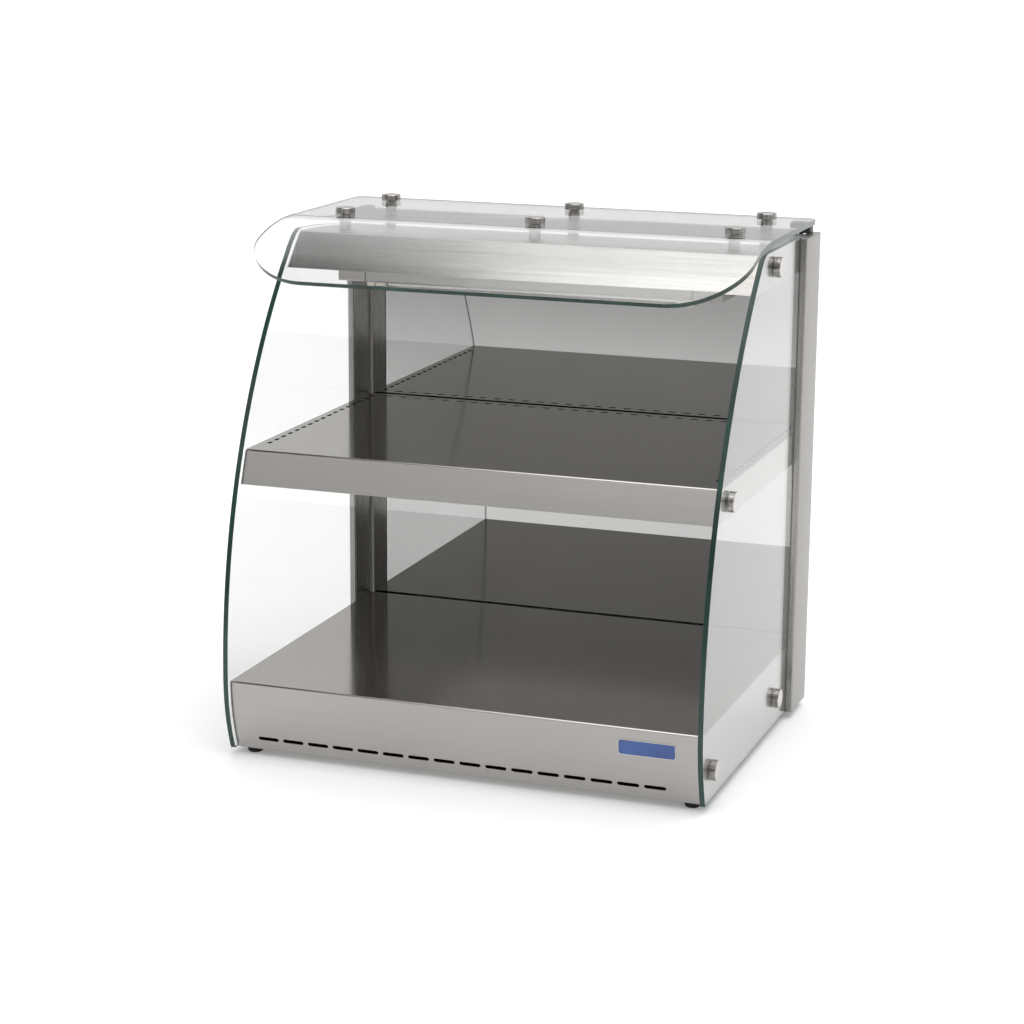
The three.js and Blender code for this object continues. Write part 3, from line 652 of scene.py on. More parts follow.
def make_top_glass():
    """Cut flat, from its rear edge forwards, then bent down in front."""
    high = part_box("top_glass")[1]
    length = ROOF_FLAT + ROOF_RADIUS * ROOF_SWEEP
    half = high.x
    c, r = ROOF_CORNER, ROOF_REAR_CORNER
    outline = (arc((half - c, length - c), c, 0, 90, 28) + arc((c - half, length - c), c, 90, 180, 28)
               + arc((r - half, r), r, 180, 270, 8) + arc((half - r, r), r, 270, 360, 8))
    holes = []
    for spot in TOP_SPOTS:
        place = centre_of(f"top_fixing_{spot}")
        hole = circle((place.x, high.y - place.y), GLASS_HOLE)
        holes.append(prism(hole, "z", -ROOF_THICKNESS - OVERCUT, OVERCUT))
    pane = carve(prism(outline, "z", -ROOF_THICKNESS, 0), holes)
    face_or_edge(pane, "z")
    cut_across(pane, "y", between(ROOF_FLAT, length, ROOF_STEPS)[:-1])
    bend_y = high.y - ROOF_FLAT
    for vert in pane.verts:
        x, along, depth = vert.co
        angle = max(0.0, along - ROOF_FLAT) / ROOF_RADIUS
        flat = min(along, ROOF_FLAT)
        reach = (ROOF_RADIUS + depth) * math.sin(angle)
        drop = ROOF_RADIUS - (ROOF_RADIUS + depth) * math.cos(angle)
        vert.co = (x, bend_y + (ROOF_FLAT - flat) - reach, high.z - drop)
    fine("top_glass", facing_out(pane), [clear, edge_green], bevel=GLASS_BEVEL, bevel_material=1)


FIXING_NECK = 4 * MM
FIXING_HEAD_LENGTH = 7 * MM
FIXING_CHAMFER = 0.8 * MM
FIXING_GROOVE = 0.35 * MM
SIDE_BARREL = 4.1 * MM
SIDE_SEAT = 0.05 * MM
TOP_BARREL = 7 * MM
SIDE_HEAD_GROOVES = 3


def fixing_profile(inner, seat, outer, barrel, head, grooves=0):
    """A glass fixing along its axis: barrel, neck through the glass, then a chamfered head."""
    neck, chamfer, groove, length = FIXING_NECK, FIXING_CHAMFER, FIXING_GROOVE, FIXING_HEAD_LENGTH
    profile = [(0, inner), (barrel, inner), (barrel, seat), (neck, seat), (neck, outer), (head, outer)]
    for i in range(grooves):
        along = outer + length * (i + 1) / (grooves + 1)
        profile += [(head, along - groove), (head - groove, along - groove * 0.6),
                    (head - groove, along + groove * 0.6), (head, along + groove)]
    end = outer + length
    return profile + [(head, end - chamfer), (head - chamfer, end), (0, end)]


def make_fixings():
    head_low, head_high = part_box("top_fixing_front_middle")
    head = (head_high.x - head_low.x) / 2
    for side, sign in SIDES:
        glass_low, glass_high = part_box(f"side_glass_{side}")
        outer_face = max(abs(glass_low.x), abs(glass_high.x)) + PART_GAP
        for spot in SIDE_SPOTS:
            node = f"glass_fixing_{spot}_{side}"
            inner = min(abs(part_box(node)[0].x), abs(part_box(node)[1].x))
            profile = fixing_profile(inner, inner + SIDE_SEAT, outer_face, SIDE_BARREL, head,
                                     SIDE_HEAD_GROOVES)
            profile = [(radius, sign * along) for radius, along in profile]
            fixing = turned(profile, "x", centre_of(node))
            face_or_edge(fixing, "x")
            fine(node, fixing, [chrome, head_x])
    roof_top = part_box("top_glass")[1].z
    seat = roof_top - ROOF_THICKNESS - PART_GAP
    for spot in TOP_SPOTS:
        node = f"top_fixing_{spot}"
        profile = fixing_profile(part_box(node)[0].z, seat, roof_top + PART_GAP, TOP_BARREL, head)
        fixing = turned(profile, "z", centre_of(node))
        face_or_edge(fixing, "z")
        fine(node, fixing, [chrome, head_z])


# ---- frame, base, shelf and canopy
def make_upright(side):
    node = f"upright_{side}"
    low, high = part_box(node)
    wall = UPRIGHT_WALL
    outer_corner, inner_corner = UPRIGHT_CORNERS
    outside = rectangle(low.x, high.x, low.y, high.y, outer_corner)
    inside = rectangle(low.x + wall, high.x - wall, low.y + wall, high.y - wall, inner_corner)
    hollow = prism(inside, "z", low.z - OVERCUT, high.z - wall)
    tube_wall = carve(prism(outside, "z", low.z, high.z), [hollow])
    fine(node, tube_wall, [brushed_z], bevel=0.35 * MM)


def make_base():
    low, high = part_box("base_tray")
    outline = front_line(-SHEET - PART_GAP, low.z, high.z, 16) + [(high.y, high.z), (high.y, low.z)]
    hollow = block((SHEET - body_half, low.y - 5 * OPEN_TOP, low.z + SHEET),
                   (body_half - SHEET, high.y + OPEN_TOP, high.z + OPEN_TOP))
    fine("base_tray", carve(prism(outline, "x", low.x, high.x), [hollow]), [dull_x], bevel=0.2 * MM)

    low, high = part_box("base_front_panel")
    skin = front_line(0, low.z, high.z, 20)
    panel = prism(skin + front_line(-SHEET, low.z, high.z, 20)[::-1], "x", low.x, high.x)
    vents = []
    for i in range(VENT_COUNT):
        x = VENT_SHIFT + (i - (VENT_COUNT - 1) / 2) * VENT_PITCH
        vent = moved(stadium(*VENT_SIZE), x, VENT_HEIGHT)
        vents.append(prism(vent, "y", low.y - OVERCUT, high.y + 4 * OVERCUT))
    fine("base_front_panel", shade_openings(carve(panel, vents), "y"), [brushed_x, slot_shade])

    fine("base_top_plate", edged_plate(*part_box("base_top_plate")), [polished_x])


def make_shelf():
    low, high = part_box("shelf_tray")
    outline = front_line(0, low.z, high.z, 16) + [(high.y, high.z), (high.y, low.z)]
    floor, rear, above = low.z + SHEET, high.y - SHEET, high.z + OPEN_TOP
    inside = front_line(-SHEET, floor, above, 16) + [(rear, above), (rear, floor)]
    hollow = prism(inside, "x", SHEET - body_half, body_half - SHEET)
    tray = carve(prism(outline, "x", low.x, high.x), [hollow])
    fine("shelf_tray", tray, [brushed_shelf], bevel=0.3 * MM)

    low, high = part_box("shelf_top_plate")
    outlines = []
    length, width = HOLE_SIZE
    for _, sign in SIDES:
        for i in range(SIDE_HOLES):
            y = high.y - SIDE_ROW_END - i * HOLE_PITCH
            outlines.append(moved(stadium(width, length), sign * (body_half - SIDE_ROW_INSET), y))
    for i in range(REAR_HOLES):
        x = (i - (REAR_HOLES - 1) / 2) * HOLE_PITCH
        outlines.append(moved(stadium(length, width), x, high.y - REAR_ROW_INSET))
    slots = [prism(outline, "z", low.z - OVERCUT, high.z + OVERCUT) for outline in outlines]
    plate = shade_openings(carve(edged_plate(low, high), slots), "z")
    fine("shelf_top_plate", plate, [polished_x, slot_shade])


def canopy_line():
    """The canopy in side view: from the lower front edge, round a soft bend, to the rear."""
    low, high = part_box("canopy_cover")
    foot, corner = front_line(0, low.z, high.z, 1)
    slope = math.atan2(corner[1] - foot[1], corner[0] - foot[0])
    reach = CANOPY_BEND * math.tan(slope / 2)
    centre = (corner[0] + reach, high.z - CANOPY_BEND)
    bend = arc(centre, CANOPY_BEND, 90 + math.degrees(slope), 90, 14)
    return [foot] + bend + [(high.y, high.z)]


def make_canopy():
    low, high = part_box("canopy_cover")
    line = canopy_line()
    flange = (line[0][0] + CANOPY_FLANGE, line[0][1])
    rear_foot = (high.y, low.z)
    cover = prism(sheet_outline([flange] + line + [rear_foot], SHEET), "x", low.x, high.x)
    # The upward-facing top takes the darker steel, painted shade; the rest of the same sheet keeps the canopy
    # steel.
    for face in cover.faces:
        face.material_index = 1 if face.normal.z > 0.98 else 0
    fine("canopy_cover", cover, [brushed_canopy, brushed_roof_painted_shade], bevel=0.25 * MM)
    for side, _ in SIDES:
        node = f"canopy_end_{side}"
        low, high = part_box(node)
        end_plate = prism(line + [(high.y, low.z)], "x", low.x, high.x)
        fine(node, end_plate, [brushed_x], bevel=0.25 * MM)
    fine("canopy_liner", block(*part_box("canopy_liner")), [polished_x], bevel=0.2 * MM)


LAMP_SEAM = 0.6 * MM
LAMP_GLASS_WALL = 1 * MM
LAMP_CAP_LENGTH = 14 * MM
LAMP_CAP_GAP = 0.2 * MM
LAMP_CAP_EDGES = (0.4 * MM, 1 * MM)
LAMP_SIDES = 32
REFLECTOR_SHEET = 0.8 * MM
REFLECTOR_STEPS = 36
SOCKET_WALL = 2.5 * MM
SOCKET_TOP = 2 * MM
SOCKET_GAP = 0.1 * MM
FILAMENT_TURNS = 110
FILAMENT_COIL = 1.1 * MM
FILAMENT_WIRE = 0.22 * MM
HOLDER_SPACES = 7
HOLDER_WIRE = 0.3 * MM
HOLDER_INSET = 0.4 * MM


def make_lamp():
    low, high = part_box("lamp_housing")
    line = [(low.y, low.z), (low.y, high.z), (high.y, high.z), (high.y, low.z)]
    housing = prism(sheet_outline(line, SHEET), "x", low.x + LAMP_SEAM, high.x - LAMP_SEAM)
    fine("lamp_housing", housing, [brushed_x], bevel=0.5 * MM)
    make_lamp_tube()

    low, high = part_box("lamp_reflector")
    middle = (low.y + high.y) / 2
    width, depth = (high.y - low.y) / 2, high.z - low.z
    outer = []
    for a in between(math.pi, 0, REFLECTOR_STEPS):
        outer.append((middle + width * math.cos(a), low.z + depth * math.sin(a)))
    reflector = prism(sheet_outline(outer, REFLECTOR_SHEET), "x", low.x, high.x)
    fine("lamp_reflector", reflector, [polished_x], bevel=0.1 * MM)

    for side, sign in SIDES:
        make_lamp_end(side, sign)


def make_lamp_tube():
    """A hollow quartz tube with ceramic caps and a filament inside."""
    low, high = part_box("lamp_tube")
    middle = (low + high) / 2
    radius = (high.z - low.z) / 2
    bore = radius - LAMP_GLASS_WALL
    half = high.x - LAMP_CAP_LENGTH
    core_half = half + OVERCUT
    envelope = [(0, -half), (radius, -half), (radius, half), (0, half)]
    core = [(0, -core_half), (bore, -core_half), (bore, core_half), (0, core_half)]
    hollow = turned(core, "x", middle, LAMP_SIDES)
    fine("lamp_tube", carve(turned(envelope, "x", middle, LAMP_SIDES), [hollow]), [quartz])
    small, large = LAMP_CAP_EDGES
    cap = [(0, half + LAMP_CAP_GAP), (radius - small, half + LAMP_CAP_GAP), (radius, half + large),
           (radius, high.x - large), (radius - large, high.x), (0, high.x)]
    for side, sign in SIDES:
        profile = [(r, sign * along) for r, along in cap]
        add_piece(f"lamp_tube_cap_{side}", turned(profile, "x", middle, LAMP_SIDES), "case", [ceramic])
    add_piece("lamp_filament", make_filament(middle, half), "case", [wire])
    make_filament_holders(middle, bore, half)


def make_lamp_end(side, sign):
    """The end of the lamp unit, with the socket that holds the tube."""
    node = f"lamp_end_{side}"
    low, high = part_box(node)
    housing_low, housing_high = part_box("lamp_housing")
    tube_low, tube_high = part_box("lamp_tube")
    middle = (tube_low + tube_high) / 2
    inner = housing_high.x + PART_GAP
    outer = max(abs(low.x), abs(high.x))
    socket_inner = min(abs(low.x), abs(high.x))
    reach = (tube_high.z - tube_low.z) / 2 + SOCKET_WALL
    cap = block(*sorted_corners((sign * inner, low.y, housing_low.z), (sign * outer, high.y, high.z)))
    socket_low = (sign * socket_inner, middle.y - reach, low.z)
    socket_high = (sign * (inner - SOCKET_GAP), middle.y + reach, middle.z + reach + SOCKET_TOP)
    socket = block(*sorted_corners(socket_low, socket_high))
    fine(node, cap, [brushed_x], bevel=0.4 * MM)
    add_piece(f"lamp_socket_{side}", socket, "case", [ceramic], bevel=0.8 * MM)


def sorted_corners(a, b):
    return tuple(map(min, a, b)), tuple(map(max, a, b))


def make_filament(middle, half):
    """A fine coil of wire down the middle of the tube."""
    count = FILAMENT_TURNS * 8
    path = []
    for i in range(count + 1):
        angle = 2 * math.pi * FILAMENT_TURNS * i / count
        x = -half + 2 * half * i / count
        y = middle.y + FILAMENT_COIL * math.cos(angle)
        path.append((x, y, middle.z + FILAMENT_COIL * math.sin(angle)))
    return tube(path, FILAMENT_WIRE, 5)


def make_filament_holders(middle, bore, half):
    """Wire rings that keep the filament off the glass."""
    radius = bore - HOLDER_INSET
    rings = []
    for i in range(1, HOLDER_SPACES):
        x = -half + 2 * half * i / HOLDER_SPACES
        ring = []
        for a in between(0, 2 * math.pi, 24):
            ring.append((x, middle.y + radius * math.cos(a), middle.z + radius * math.sin(a)))
        rings.append(tube(ring, HOLDER_WIRE, 6))
    add_piece("lamp_filament_holders", merged(rings), "case", [wire])


# ---- feet, brackets and screws
FOOT_RIBS = 3
FOOT_RIB_PITCH = 1.8 * MM
FIRST_RIB = 2.2 * MM
RIB_SIZE = (0.5 * MM, 0.4 * MM)   # half its root's height, and how far it stands out
SCREW_RADIUS = 2.9 * MM
SCREW_HEIGHT = 1.7 * MM
CROSS_SIZE = (1.9 * MM, 0.35 * MM)
CROSS_ENDS = (0.7 * MM, 3 * MM)   # floor of the recess, and the far end of its cutter
BRACKET_WALL = 2 * MM


def make_foot(node):
    """A ribbed rubber foot with a shallow dimple in its underside."""
    low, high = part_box(node)
    r, h = (high.x - low.x) / 2, high.z
    waist = r - 1 * MM
    tall, proud = RIB_SIZE
    profile = [(0, 0.6 * MM), (2.6 * MM, 0.6 * MM), (3 * MM, 0), (r - 2.2 * MM, 0), (r - 1.3 * MM, 0.7 * MM)]
    for i in range(FOOT_RIBS):
        rib = FIRST_RIB + i * FOOT_RIB_PITCH
        profile += [(waist, rib - tall), (waist + proud, rib - 0.6 * tall),
                    (waist + proud, rib + 0.6 * tall), (waist, rib + tall)]
    profile += [(r - 0.8 * MM, h - 1.6 * MM), (r, h - 1.2 * MM), (r, h), (0, h)]
    fine(node, turned(profile, "z", centre_of(node)), [rubber])


def screw(x, z, face):
    """A pan head screw with a cross recess, standing on a face that looks towards +Y."""
    r = SCREW_RADIUS
    dome = [(r, 0.02 * MM), (r, 0.6 * MM), (r * 0.85, 1.2 * MM), (r * 0.5, 1.6 * MM)]
    profile = [(radius, face + along) for radius, along in [(0, 0.02 * MM)] + dome + [(0, SCREW_HEIGHT)]]
    arm, slit = CROSS_SIZE
    ends = [face + end for end in CROSS_ENDS]
    cross = [prism(rectangle(x - arm, x + arm, z - slit, z + slit), "y", *ends),
             prism(rectangle(x - slit, x + slit, z - arm, z + arm), "y", *ends)]
    head = carve(turned(profile, "y", (x, 0, z), 28), cross[:1])
    return carve(head, cross[1:])


def make_shelf_bracket(side, sign):
    node = f"shelf_bracket_{side}"
    low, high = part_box(node)
    leaf, wall = high.x - low.x, BRACKET_WALL
    root, tip = (low.x, high.x) if sign < 0 else (high.x, low.x)
    outline = [(root, high.z), (tip, high.z), (tip, high.z - wall), (root - sign * wall, high.z - wall),
               (root - sign * wall, high.z - leaf), (root, high.z - leaf)]
    fine(node, prism(outline, "y", low.y, high.y), [dull_x], bevel=0.5 * MM)


# ---- rear of the base
REAR_SLOTS = 8
REAR_SLOT_START = -4 * MM
REAR_SLOT_PITCH = 21 * MM
REAR_SLOT_SIZE = (14 * MM, 4 * MM)
SWITCH_CUT = (9.7 * MM, 13.5 * MM)
SWITCH_BARREL = (9.2 * MM, 13 * MM)
SWITCH_WALL = (1.5 * MM, 1.4 * MM)
SWITCH_POCKET = 12 * MM
CUT_RADIUS = {"indicator_lamp": 4.7 * MM, "thermostat_knob": 3.5 * MM, "cable_gland": 7.5 * MM}
SCREW_INSET = 9 * MM
ROCKER_TILT = math.radians(8)
ROCKER_HALF = (7 * MM, 10.6 * MM)
ROCKER_DISH = (3.6 * MM, 1.8 * MM)    # face height in the middle, and how much higher its ends are
ROCKER_TAIL = (6 * MM, 2.5 * MM)
MARK_HEIGHT = 6.2 * MM
MARK_BASE = 4 * MM
DIAL_TICKS = 12
DIAL_SWEEP = math.radians(270)
DIAL_START = math.radians(225)
DIAL_NUMBERS = (30, 50, 70, 90, 110)
TICK_DEPTH = 0.12 * MM
NUMBER_RADIUS = 7.5 * MM
KNOB_SHAFT = 3 * MM
GLAND_BORE = 3.6 * MM
GLAND_THREAD = 7 * MM
GLAND_FLUTES = 16
control_height = centre_of("thermostat_knob").z


def make_base_rear():
    low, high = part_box("base_rear_panel")
    outlines = []
    for use in ("power", "lamp"):
        outlines.append(about(centre_of(f"{use}_switch_housing").x, control_height, *SWITCH_CUT))
    for node, radius in CUT_RADIUS.items():
        place = centre_of(node)
        outlines.append(circle((place.x, place.z), radius))
    for i in range(REAR_SLOTS):
        x = REAR_SLOT_START + i * REAR_SLOT_PITCH
        outlines.append(moved(stadium(*REAR_SLOT_SIZE), x, control_height))
    cutters = [prism(outline, "y", low.y - OVERCUT, high.y + OVERCUT) for outline in outlines]
    fine("base_rear_panel", carve(block(low, high), cutters), [brushed_x], bevel=0.2 * MM)
    heads = []
    for x in (low.x + SCREW_INSET, 0, high.x - SCREW_INSET):
        for z in (low.z + 8 * MM, high.z - 7 * MM):
            heads.append(screw(x, z, high.y))
    add_piece("rear_panel_screws", merged(heads), "case", [chrome])


def make_switch(use):
    node = f"{use}_switch_housing"
    low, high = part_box(node)
    x = (low.x + high.x) / 2
    seat = rear_face + PART_GAP
    half, height = SWITCH_BARREL
    side_wall, end_wall = SWITCH_WALL
    inside = about(x, control_height, half - side_wall, height - end_wall)
    bezel = prism(rectangle(low.x, high.x, low.z, high.z, 1.6 * MM), "y", seat, high.y)
    collar = carve(bezel, [prism(inside, "y", rear_face, high.y + OVERCUT)])
    barrel = prism(about(x, control_height, half, height), "y", low.y, seat + 0.01 * MM)
    pocket = prism(inside, "y", rear_face - SWITCH_POCKET, high.y + OVERCUT)
    fine(node, collar, [black], bevel=0.35 * MM)
    add_piece(f"{use}_switch_body", carve(barrel, [pocket]), "case", [black], slot="black_plastic")
    make_rocker(use, x)


def make_rocker(use, x):
    """A see-saw button with a hollowed face and raised on and off marks."""
    joint = next(j for j in frame["joints"] if j["name"] == f"{use}_switch_press")
    pivot = Vector(joint["pos_m"])
    half, reach = ROCKER_HALF
    middle, rise = ROCKER_DISH
    tail, tail_half = ROCKER_TAIL
    edge = 2 * MM
    face = [(middle + rise * (a / reach) ** 2, a) for a in between(reach, -reach, 20)]
    outline = [(-tail, -tail_half), (-tail, tail_half), (edge, reach)] + face + [(edge, -reach)]
    turn = Matrix.Translation((x, pivot.y, control_height)) @ Matrix.Rotation(ROCKER_TILT, 4, "X")
    button = prism(outline, "x", -half, half)
    bmesh.ops.transform(button, matrix=turn, verts=button.verts)
    finish = amber if use == "power" else black
    fine(f"{use}_switch_rocker", button, [finish], bevel=0.5 * MM)
    bar = rectangle(-0.5 * MM, 0.5 * MM, MARK_HEIGHT - 2.2 * MM, MARK_HEIGHT + 2.2 * MM, 0.2 * MM)
    on_mark = prism(bar, "y", MARK_BASE, 4.75 * MM)
    ring = prism(circle((0, -MARK_HEIGHT), 2.3 * MM), "y", MARK_BASE, 4.72 * MM)
    inside = prism(circle((0, -MARK_HEIGHT), 1.6 * MM), "y", MARK_BASE - OVERCUT, MARK_BASE + 2 * OVERCUT)
    off_mark = carve(ring, [inside])
    marks = merged([on_mark, off_mark])
    bmesh.ops.transform(marks, matrix=turn, verts=marks.verts)
    add_piece(f"{use}_switch_marks", marks, body_of[f"{use}_switch_rocker"], [white_mark])


def make_knob():
    low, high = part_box("thermostat_knob")
    centre = (low + high) / 2
    r = (high.x - low.x) / 2
    seat = rear_face + 0.6 * MM
    top = rear_face + 18.5 * MM
    skirt = [(-0.3, 0.6), (0, 0.9), (0, 3.4), (-0.6, 4), (-2.5, 5), (-3.9, 16.6), (-4.8, 18.2), (-5.4, 18.5)]
    profile = [(0, low.y), (KNOB_SHAFT, low.y), (KNOB_SHAFT, seat)]
    profile += [(r + inwards * MM, rear_face + out * MM) for inwards, out in skirt] + [(0, top)]
    fine("thermostat_knob", turned(profile, "y", centre, 64), [black])
    reach = r - 5 * MM
    grip = prism(moved(stadium(6 * MM, 2 * reach), centre.x, centre.z), "y", top - MM, high.y)
    add_piece("thermostat_grip", grip, "knob", [black], slot="black_plastic", bevel=0.7 * MM)
    half = 0.6 * MM
    line = rectangle(centre.x - half, centre.x + half, centre.z + 3 * MM, centre.z + reach - 1 * MM)
    pointer = prism(line, "y", high.y - 0.5 * MM, high.y)
    add_piece("thermostat_pointer", pointer, "knob", [white_mark])
    make_dial_scale(Vector((centre.x, rear_face, centre.z)), r)


def make_dial_scale(centre, r):
    """Tick marks round the knob, clockwise as seen from behind, with plain numbers."""
    ticks = []
    start, width = r + 1.5 * MM, 0.35 * MM
    turn = Matrix.Translation(centre) @ Matrix.Rotation(math.pi, 4, "Z")
    for i in range(DIAL_TICKS + 1):
        angle = DIAL_START - DIAL_SWEEP * i / DIAL_TICKS
        number, rest = divmod(i, 3)
        end = r + (3 if rest else 4.2) * MM
        tick = prism(rectangle(start, end, -width, width), "y", 0, TICK_DEPTH)
        bmesh.ops.transform(tick, matrix=turn @ Matrix.Rotation(-angle, 4, "Y"), verts=tick.verts)
        bmesh.ops.translate(tick, verts=tick.verts, vec=(0, TICK_DEPTH, 0))
        ticks.append(facing_out(tick))
        if not rest:
            place = Vector((-math.cos(angle), 0, math.sin(angle))) * (r + NUMBER_RADIUS)
            make_number(f"dial_number_{number}", str(DIAL_NUMBERS[number]), centre + place)
    add_piece("dial_ticks", merged(ticks), "case", [black])


def make_number(name, text, place):
    """A small printed number on a face that looks towards +Y."""
    curve = bpy.data.curves.new(name, "FONT")
    curve.body = text
    curve.size = 4.2 * MM
    curve.extrude = 0.05 * MM
    curve.align_x = "CENTER"
    curve.align_y = "CENTER"
    number = linked(name, curve)
    bpy.context.view_layer.update()
    evaluated = number.evaluated_get(bpy.context.evaluated_depsgraph_get())
    mesh = bpy.data.meshes.new_from_object(evaluated)
    bpy.data.objects.remove(number)
    bm = bmesh.new()
    bm.from_mesh(mesh)
    facing = Matrix.Rotation(math.pi, 4, "Z") @ Matrix.Rotation(math.pi / 2, 4, "X")
    proud = Matrix.Translation(place + Vector((0, TICK_DEPTH / 2, 0)))
    bmesh.ops.transform(bm, matrix=proud @ facing, verts=bm.verts)
    add_piece(name, bm, "case", [black])


def make_indicator():
    """An amber pilot lamp with a domed lens in a chrome bezel."""
    node = "indicator_lamp"
    low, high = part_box(node)
    centre = (low + high) / 2
    face, seat = rear_face, rear_face + PART_GAP
    barrel, lens_radius = 4.2 * MM, 4 * MM
    dome = []
    for a in between(0, math.pi / 2, 8)[:-1]:
        dome.append((lens_radius * math.cos(a), face + 2.3 * MM + 2.9 * MM * math.sin(a)))
    profile = [(0, low.y), (barrel, low.y), (barrel, seat), (lens_radius, seat)] + dome + [(0, high.y)]
    fine(node, turned(profile, "y", centre, 40), [amber])
    bezel = [(0, seat), (6 * MM, seat), (6 * MM, face + 1.4 * MM), (5.4 * MM, face + 2.1 * MM),
             (0, face + 2.1 * MM)]
    inner = prism(circle((centre.x, centre.z), 4.3 * MM), "y", face, face + 5 * MM)
    ring = carve(turned(bezel, "y", centre, 40), [inner])
    add_piece("indicator_bezel", ring, "case", [chrome])


def make_gland():
    """A cable gland: a flange, a fluted nut and a tapered nose, with a bore right through."""
    low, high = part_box("cable_gland")
    centre = (low + high) / 2
    face, thread = rear_face, GLAND_THREAD
    nut, neck = thread + 2.6 * MM, thread + 1.6 * MM
    flange = thread + 3.8 * MM
    profile = [(0, low.y), (thread, low.y), (thread, face + PART_GAP), (flange, face + PART_GAP),
               (flange, face + 3 * MM), (neck, face + 3 * MM), (neck, face + 4 * MM),
               (nut, face + 4.2 * MM), (nut, face + 9 * MM), (neck, face + 12 * MM),
               (GLAND_BORE + 2.4 * MM, face + 16 * MM), (GLAND_BORE + 1.4 * MM, high.y), (0, high.y)]
    body = turned(profile, "y", centre, 40)
    hole = prism(circle((centre.x, centre.z), GLAND_BORE), "y", low.y - OVERCUT, high.y + OVERCUT)
    flutes = []
    reach = nut + 0.3 * MM
    for i in range(GLAND_FLUTES):
        angle = 2 * math.pi * i / GLAND_FLUTES
        spot = (centre.x + reach * math.cos(angle), centre.z + reach * math.sin(angle))
        flutes.append(prism(circle(spot, 0.8 * MM, 12), "y", face + 4.6 * MM, face + 12.4 * MM))
    fine("cable_gland", carve(carve(body, [hole]), flutes), [black])


# ---- door
HANDLE_CORNER = 14 * MM
PIN_CHAMFER = 0.5 * MM


def hinge_bore(end, low, high):
    """A cutter for the hole that a hinge pin turns in."""
    pin = centre_of(f"hinge_pin_{end}")
    return prism(circle((pin.x, pin.y), PIN_BORE), "z", low.z - OVERCUT, high.z + OVERCUT)


def make_door():
    fine("door_mirror", block(*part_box("door_mirror")), [silvered, edge_green], bevel=1.2 * MM)

    low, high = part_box("door_panel")
    hollow = block((low.x + SHEET, low.y - OVERCUT, low.z + SHEET),
                   (high.x - SHEET, high.y - SHEET, high.z - SHEET))
    bore = hinge_bore("top", low, high)
    outside = prism(rectangle(low.x, high.x, low.z, high.z, 2 * MM), "y", low.y, high.y)
    fine("door_panel", carve(carve(outside, [hollow]), [bore]), [brushed_z], bevel=0.8 * MM)

    handle_low, handle_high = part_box("door_handle")
    middle = (handle_low + handle_high) / 2
    radius = (handle_high.x - handle_low.x) / 2
    corner = HANDLE_CORNER
    bar = handle_high.y - radius
    root = handle_low.y
    bottom, top = handle_low.z + radius, handle_high.z - radius
    lower = arc((bar - corner, bottom + corner), corner, -90, 0, 12)
    upper = arc((bar - corner, top - corner), corner, 0, 90, 12)
    line = [(root, bottom)] + lower + upper + [(root, top)]
    fine("door_handle", tube([(middle.x, y, z) for y, z in line], radius, 32), [chrome])
    for name, z in (("lower", bottom), ("upper", top)):
        profile = [(0, root), (8.6 * MM, root), (8.6 * MM, root + 0.8 * MM), (7.4 * MM, root + 1.8 * MM),
                   (0, root + 1.8 * MM)]
        flange = turned(profile, "y", (middle.x, root, z), 40)
        add_piece(f"door_handle_flange_{name}", flange, "door", [chrome])


def make_hinges():
    for end in ("top", "bottom"):
        node = f"hinge_block_{end}"
        low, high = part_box(node)
        solid = prism(rectangle(low.x, high.x, low.y, high.y, 3 * MM), "z", low.z, high.z)
        fine(node, carve(solid, [hinge_bore(end, low, high)]), [black], bevel=0.6 * MM)
        node = f"hinge_pin_{end}"
        low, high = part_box(node)
        r, chamfer = 3 * MM, PIN_CHAMFER
        profile = [(0, low.z), (r - chamfer, low.z), (r, low.z + chamfer),
                   (r, high.z - chamfer), (r - chamfer, high.z), (0, high.z)]
        fine(node, turned(profile, "z", centre_of(node), 32), [chrome])


def make_magnet():
    low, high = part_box("door_magnet")
    fine("door_magnet", block(low, (high.x, high.y - 0.6 * MM, high.z)), [black], bevel=0.8 * MM)
    strips = []
    for z in (low.z + 3 * MM, high.z - 3 * MM):
        strips.append(block((low.x + 4 * MM, high.y - 1.2 * MM, z - MM), (high.x - 4 * MM, high.y, z + MM)))
    add_piece("door_magnet_poles", merged(strips), "case", [wire])


# ---- plain plate on the base front
PLATE_CENTRE = (226 * MM, 72 * MM)
PLATE_SIZE = (68 * MM, 19 * MM)
PLATE_RIM = 1 * MM
PLATE_CORNER = 4 * MM


def make_plate():
    """A blank enamelled plate with a metal rim, bent to follow the base front."""
    x, z = PLATE_CENTRE
    w, h = PLATE_SIZE[0] / 2, PLATE_SIZE[1] / 2
    layers = (("rim", 0.0, 0.7 * MM, chrome), ("face", PLATE_RIM, 0.95 * MM, plate_blue))
    for name, inset, thickness, material in layers:
        left, right, foot, top = x - w + inset, x + w - inset, z - h + inset, z + h - inset
        outline = rectangle(left, right, foot, top, PLATE_CORNER - inset, 8)
        plate = prism(outline, "y", -thickness, -0.05 * MM)
        cut_across(plate, "z", between(z - h, z + h, 8)[1:-1])
        for vert in plate.verts:
            vert.co.y += front_y(vert.co.z)
        add_piece(f"blank_plate_{name}", plate, "case", [material], bevel=0.15 * MM)


for side, sign in SIDES:
    make_side_glass(side)
    make_upright(side)
    make_shelf_bracket(side, sign)
    for end in ("front", "rear"):
        make_foot(f"foot_{end}_{side}")
make_top_glass()
make_fixings()
make_base()
make_shelf()
make_canopy()
make_lamp()
make_base_rear()
for use in ("power", "lamp"):
    make_switch(use)
make_knob()
make_indicator()
make_gland()
make_door()
make_hinges()
make_magnet()
make_plate()

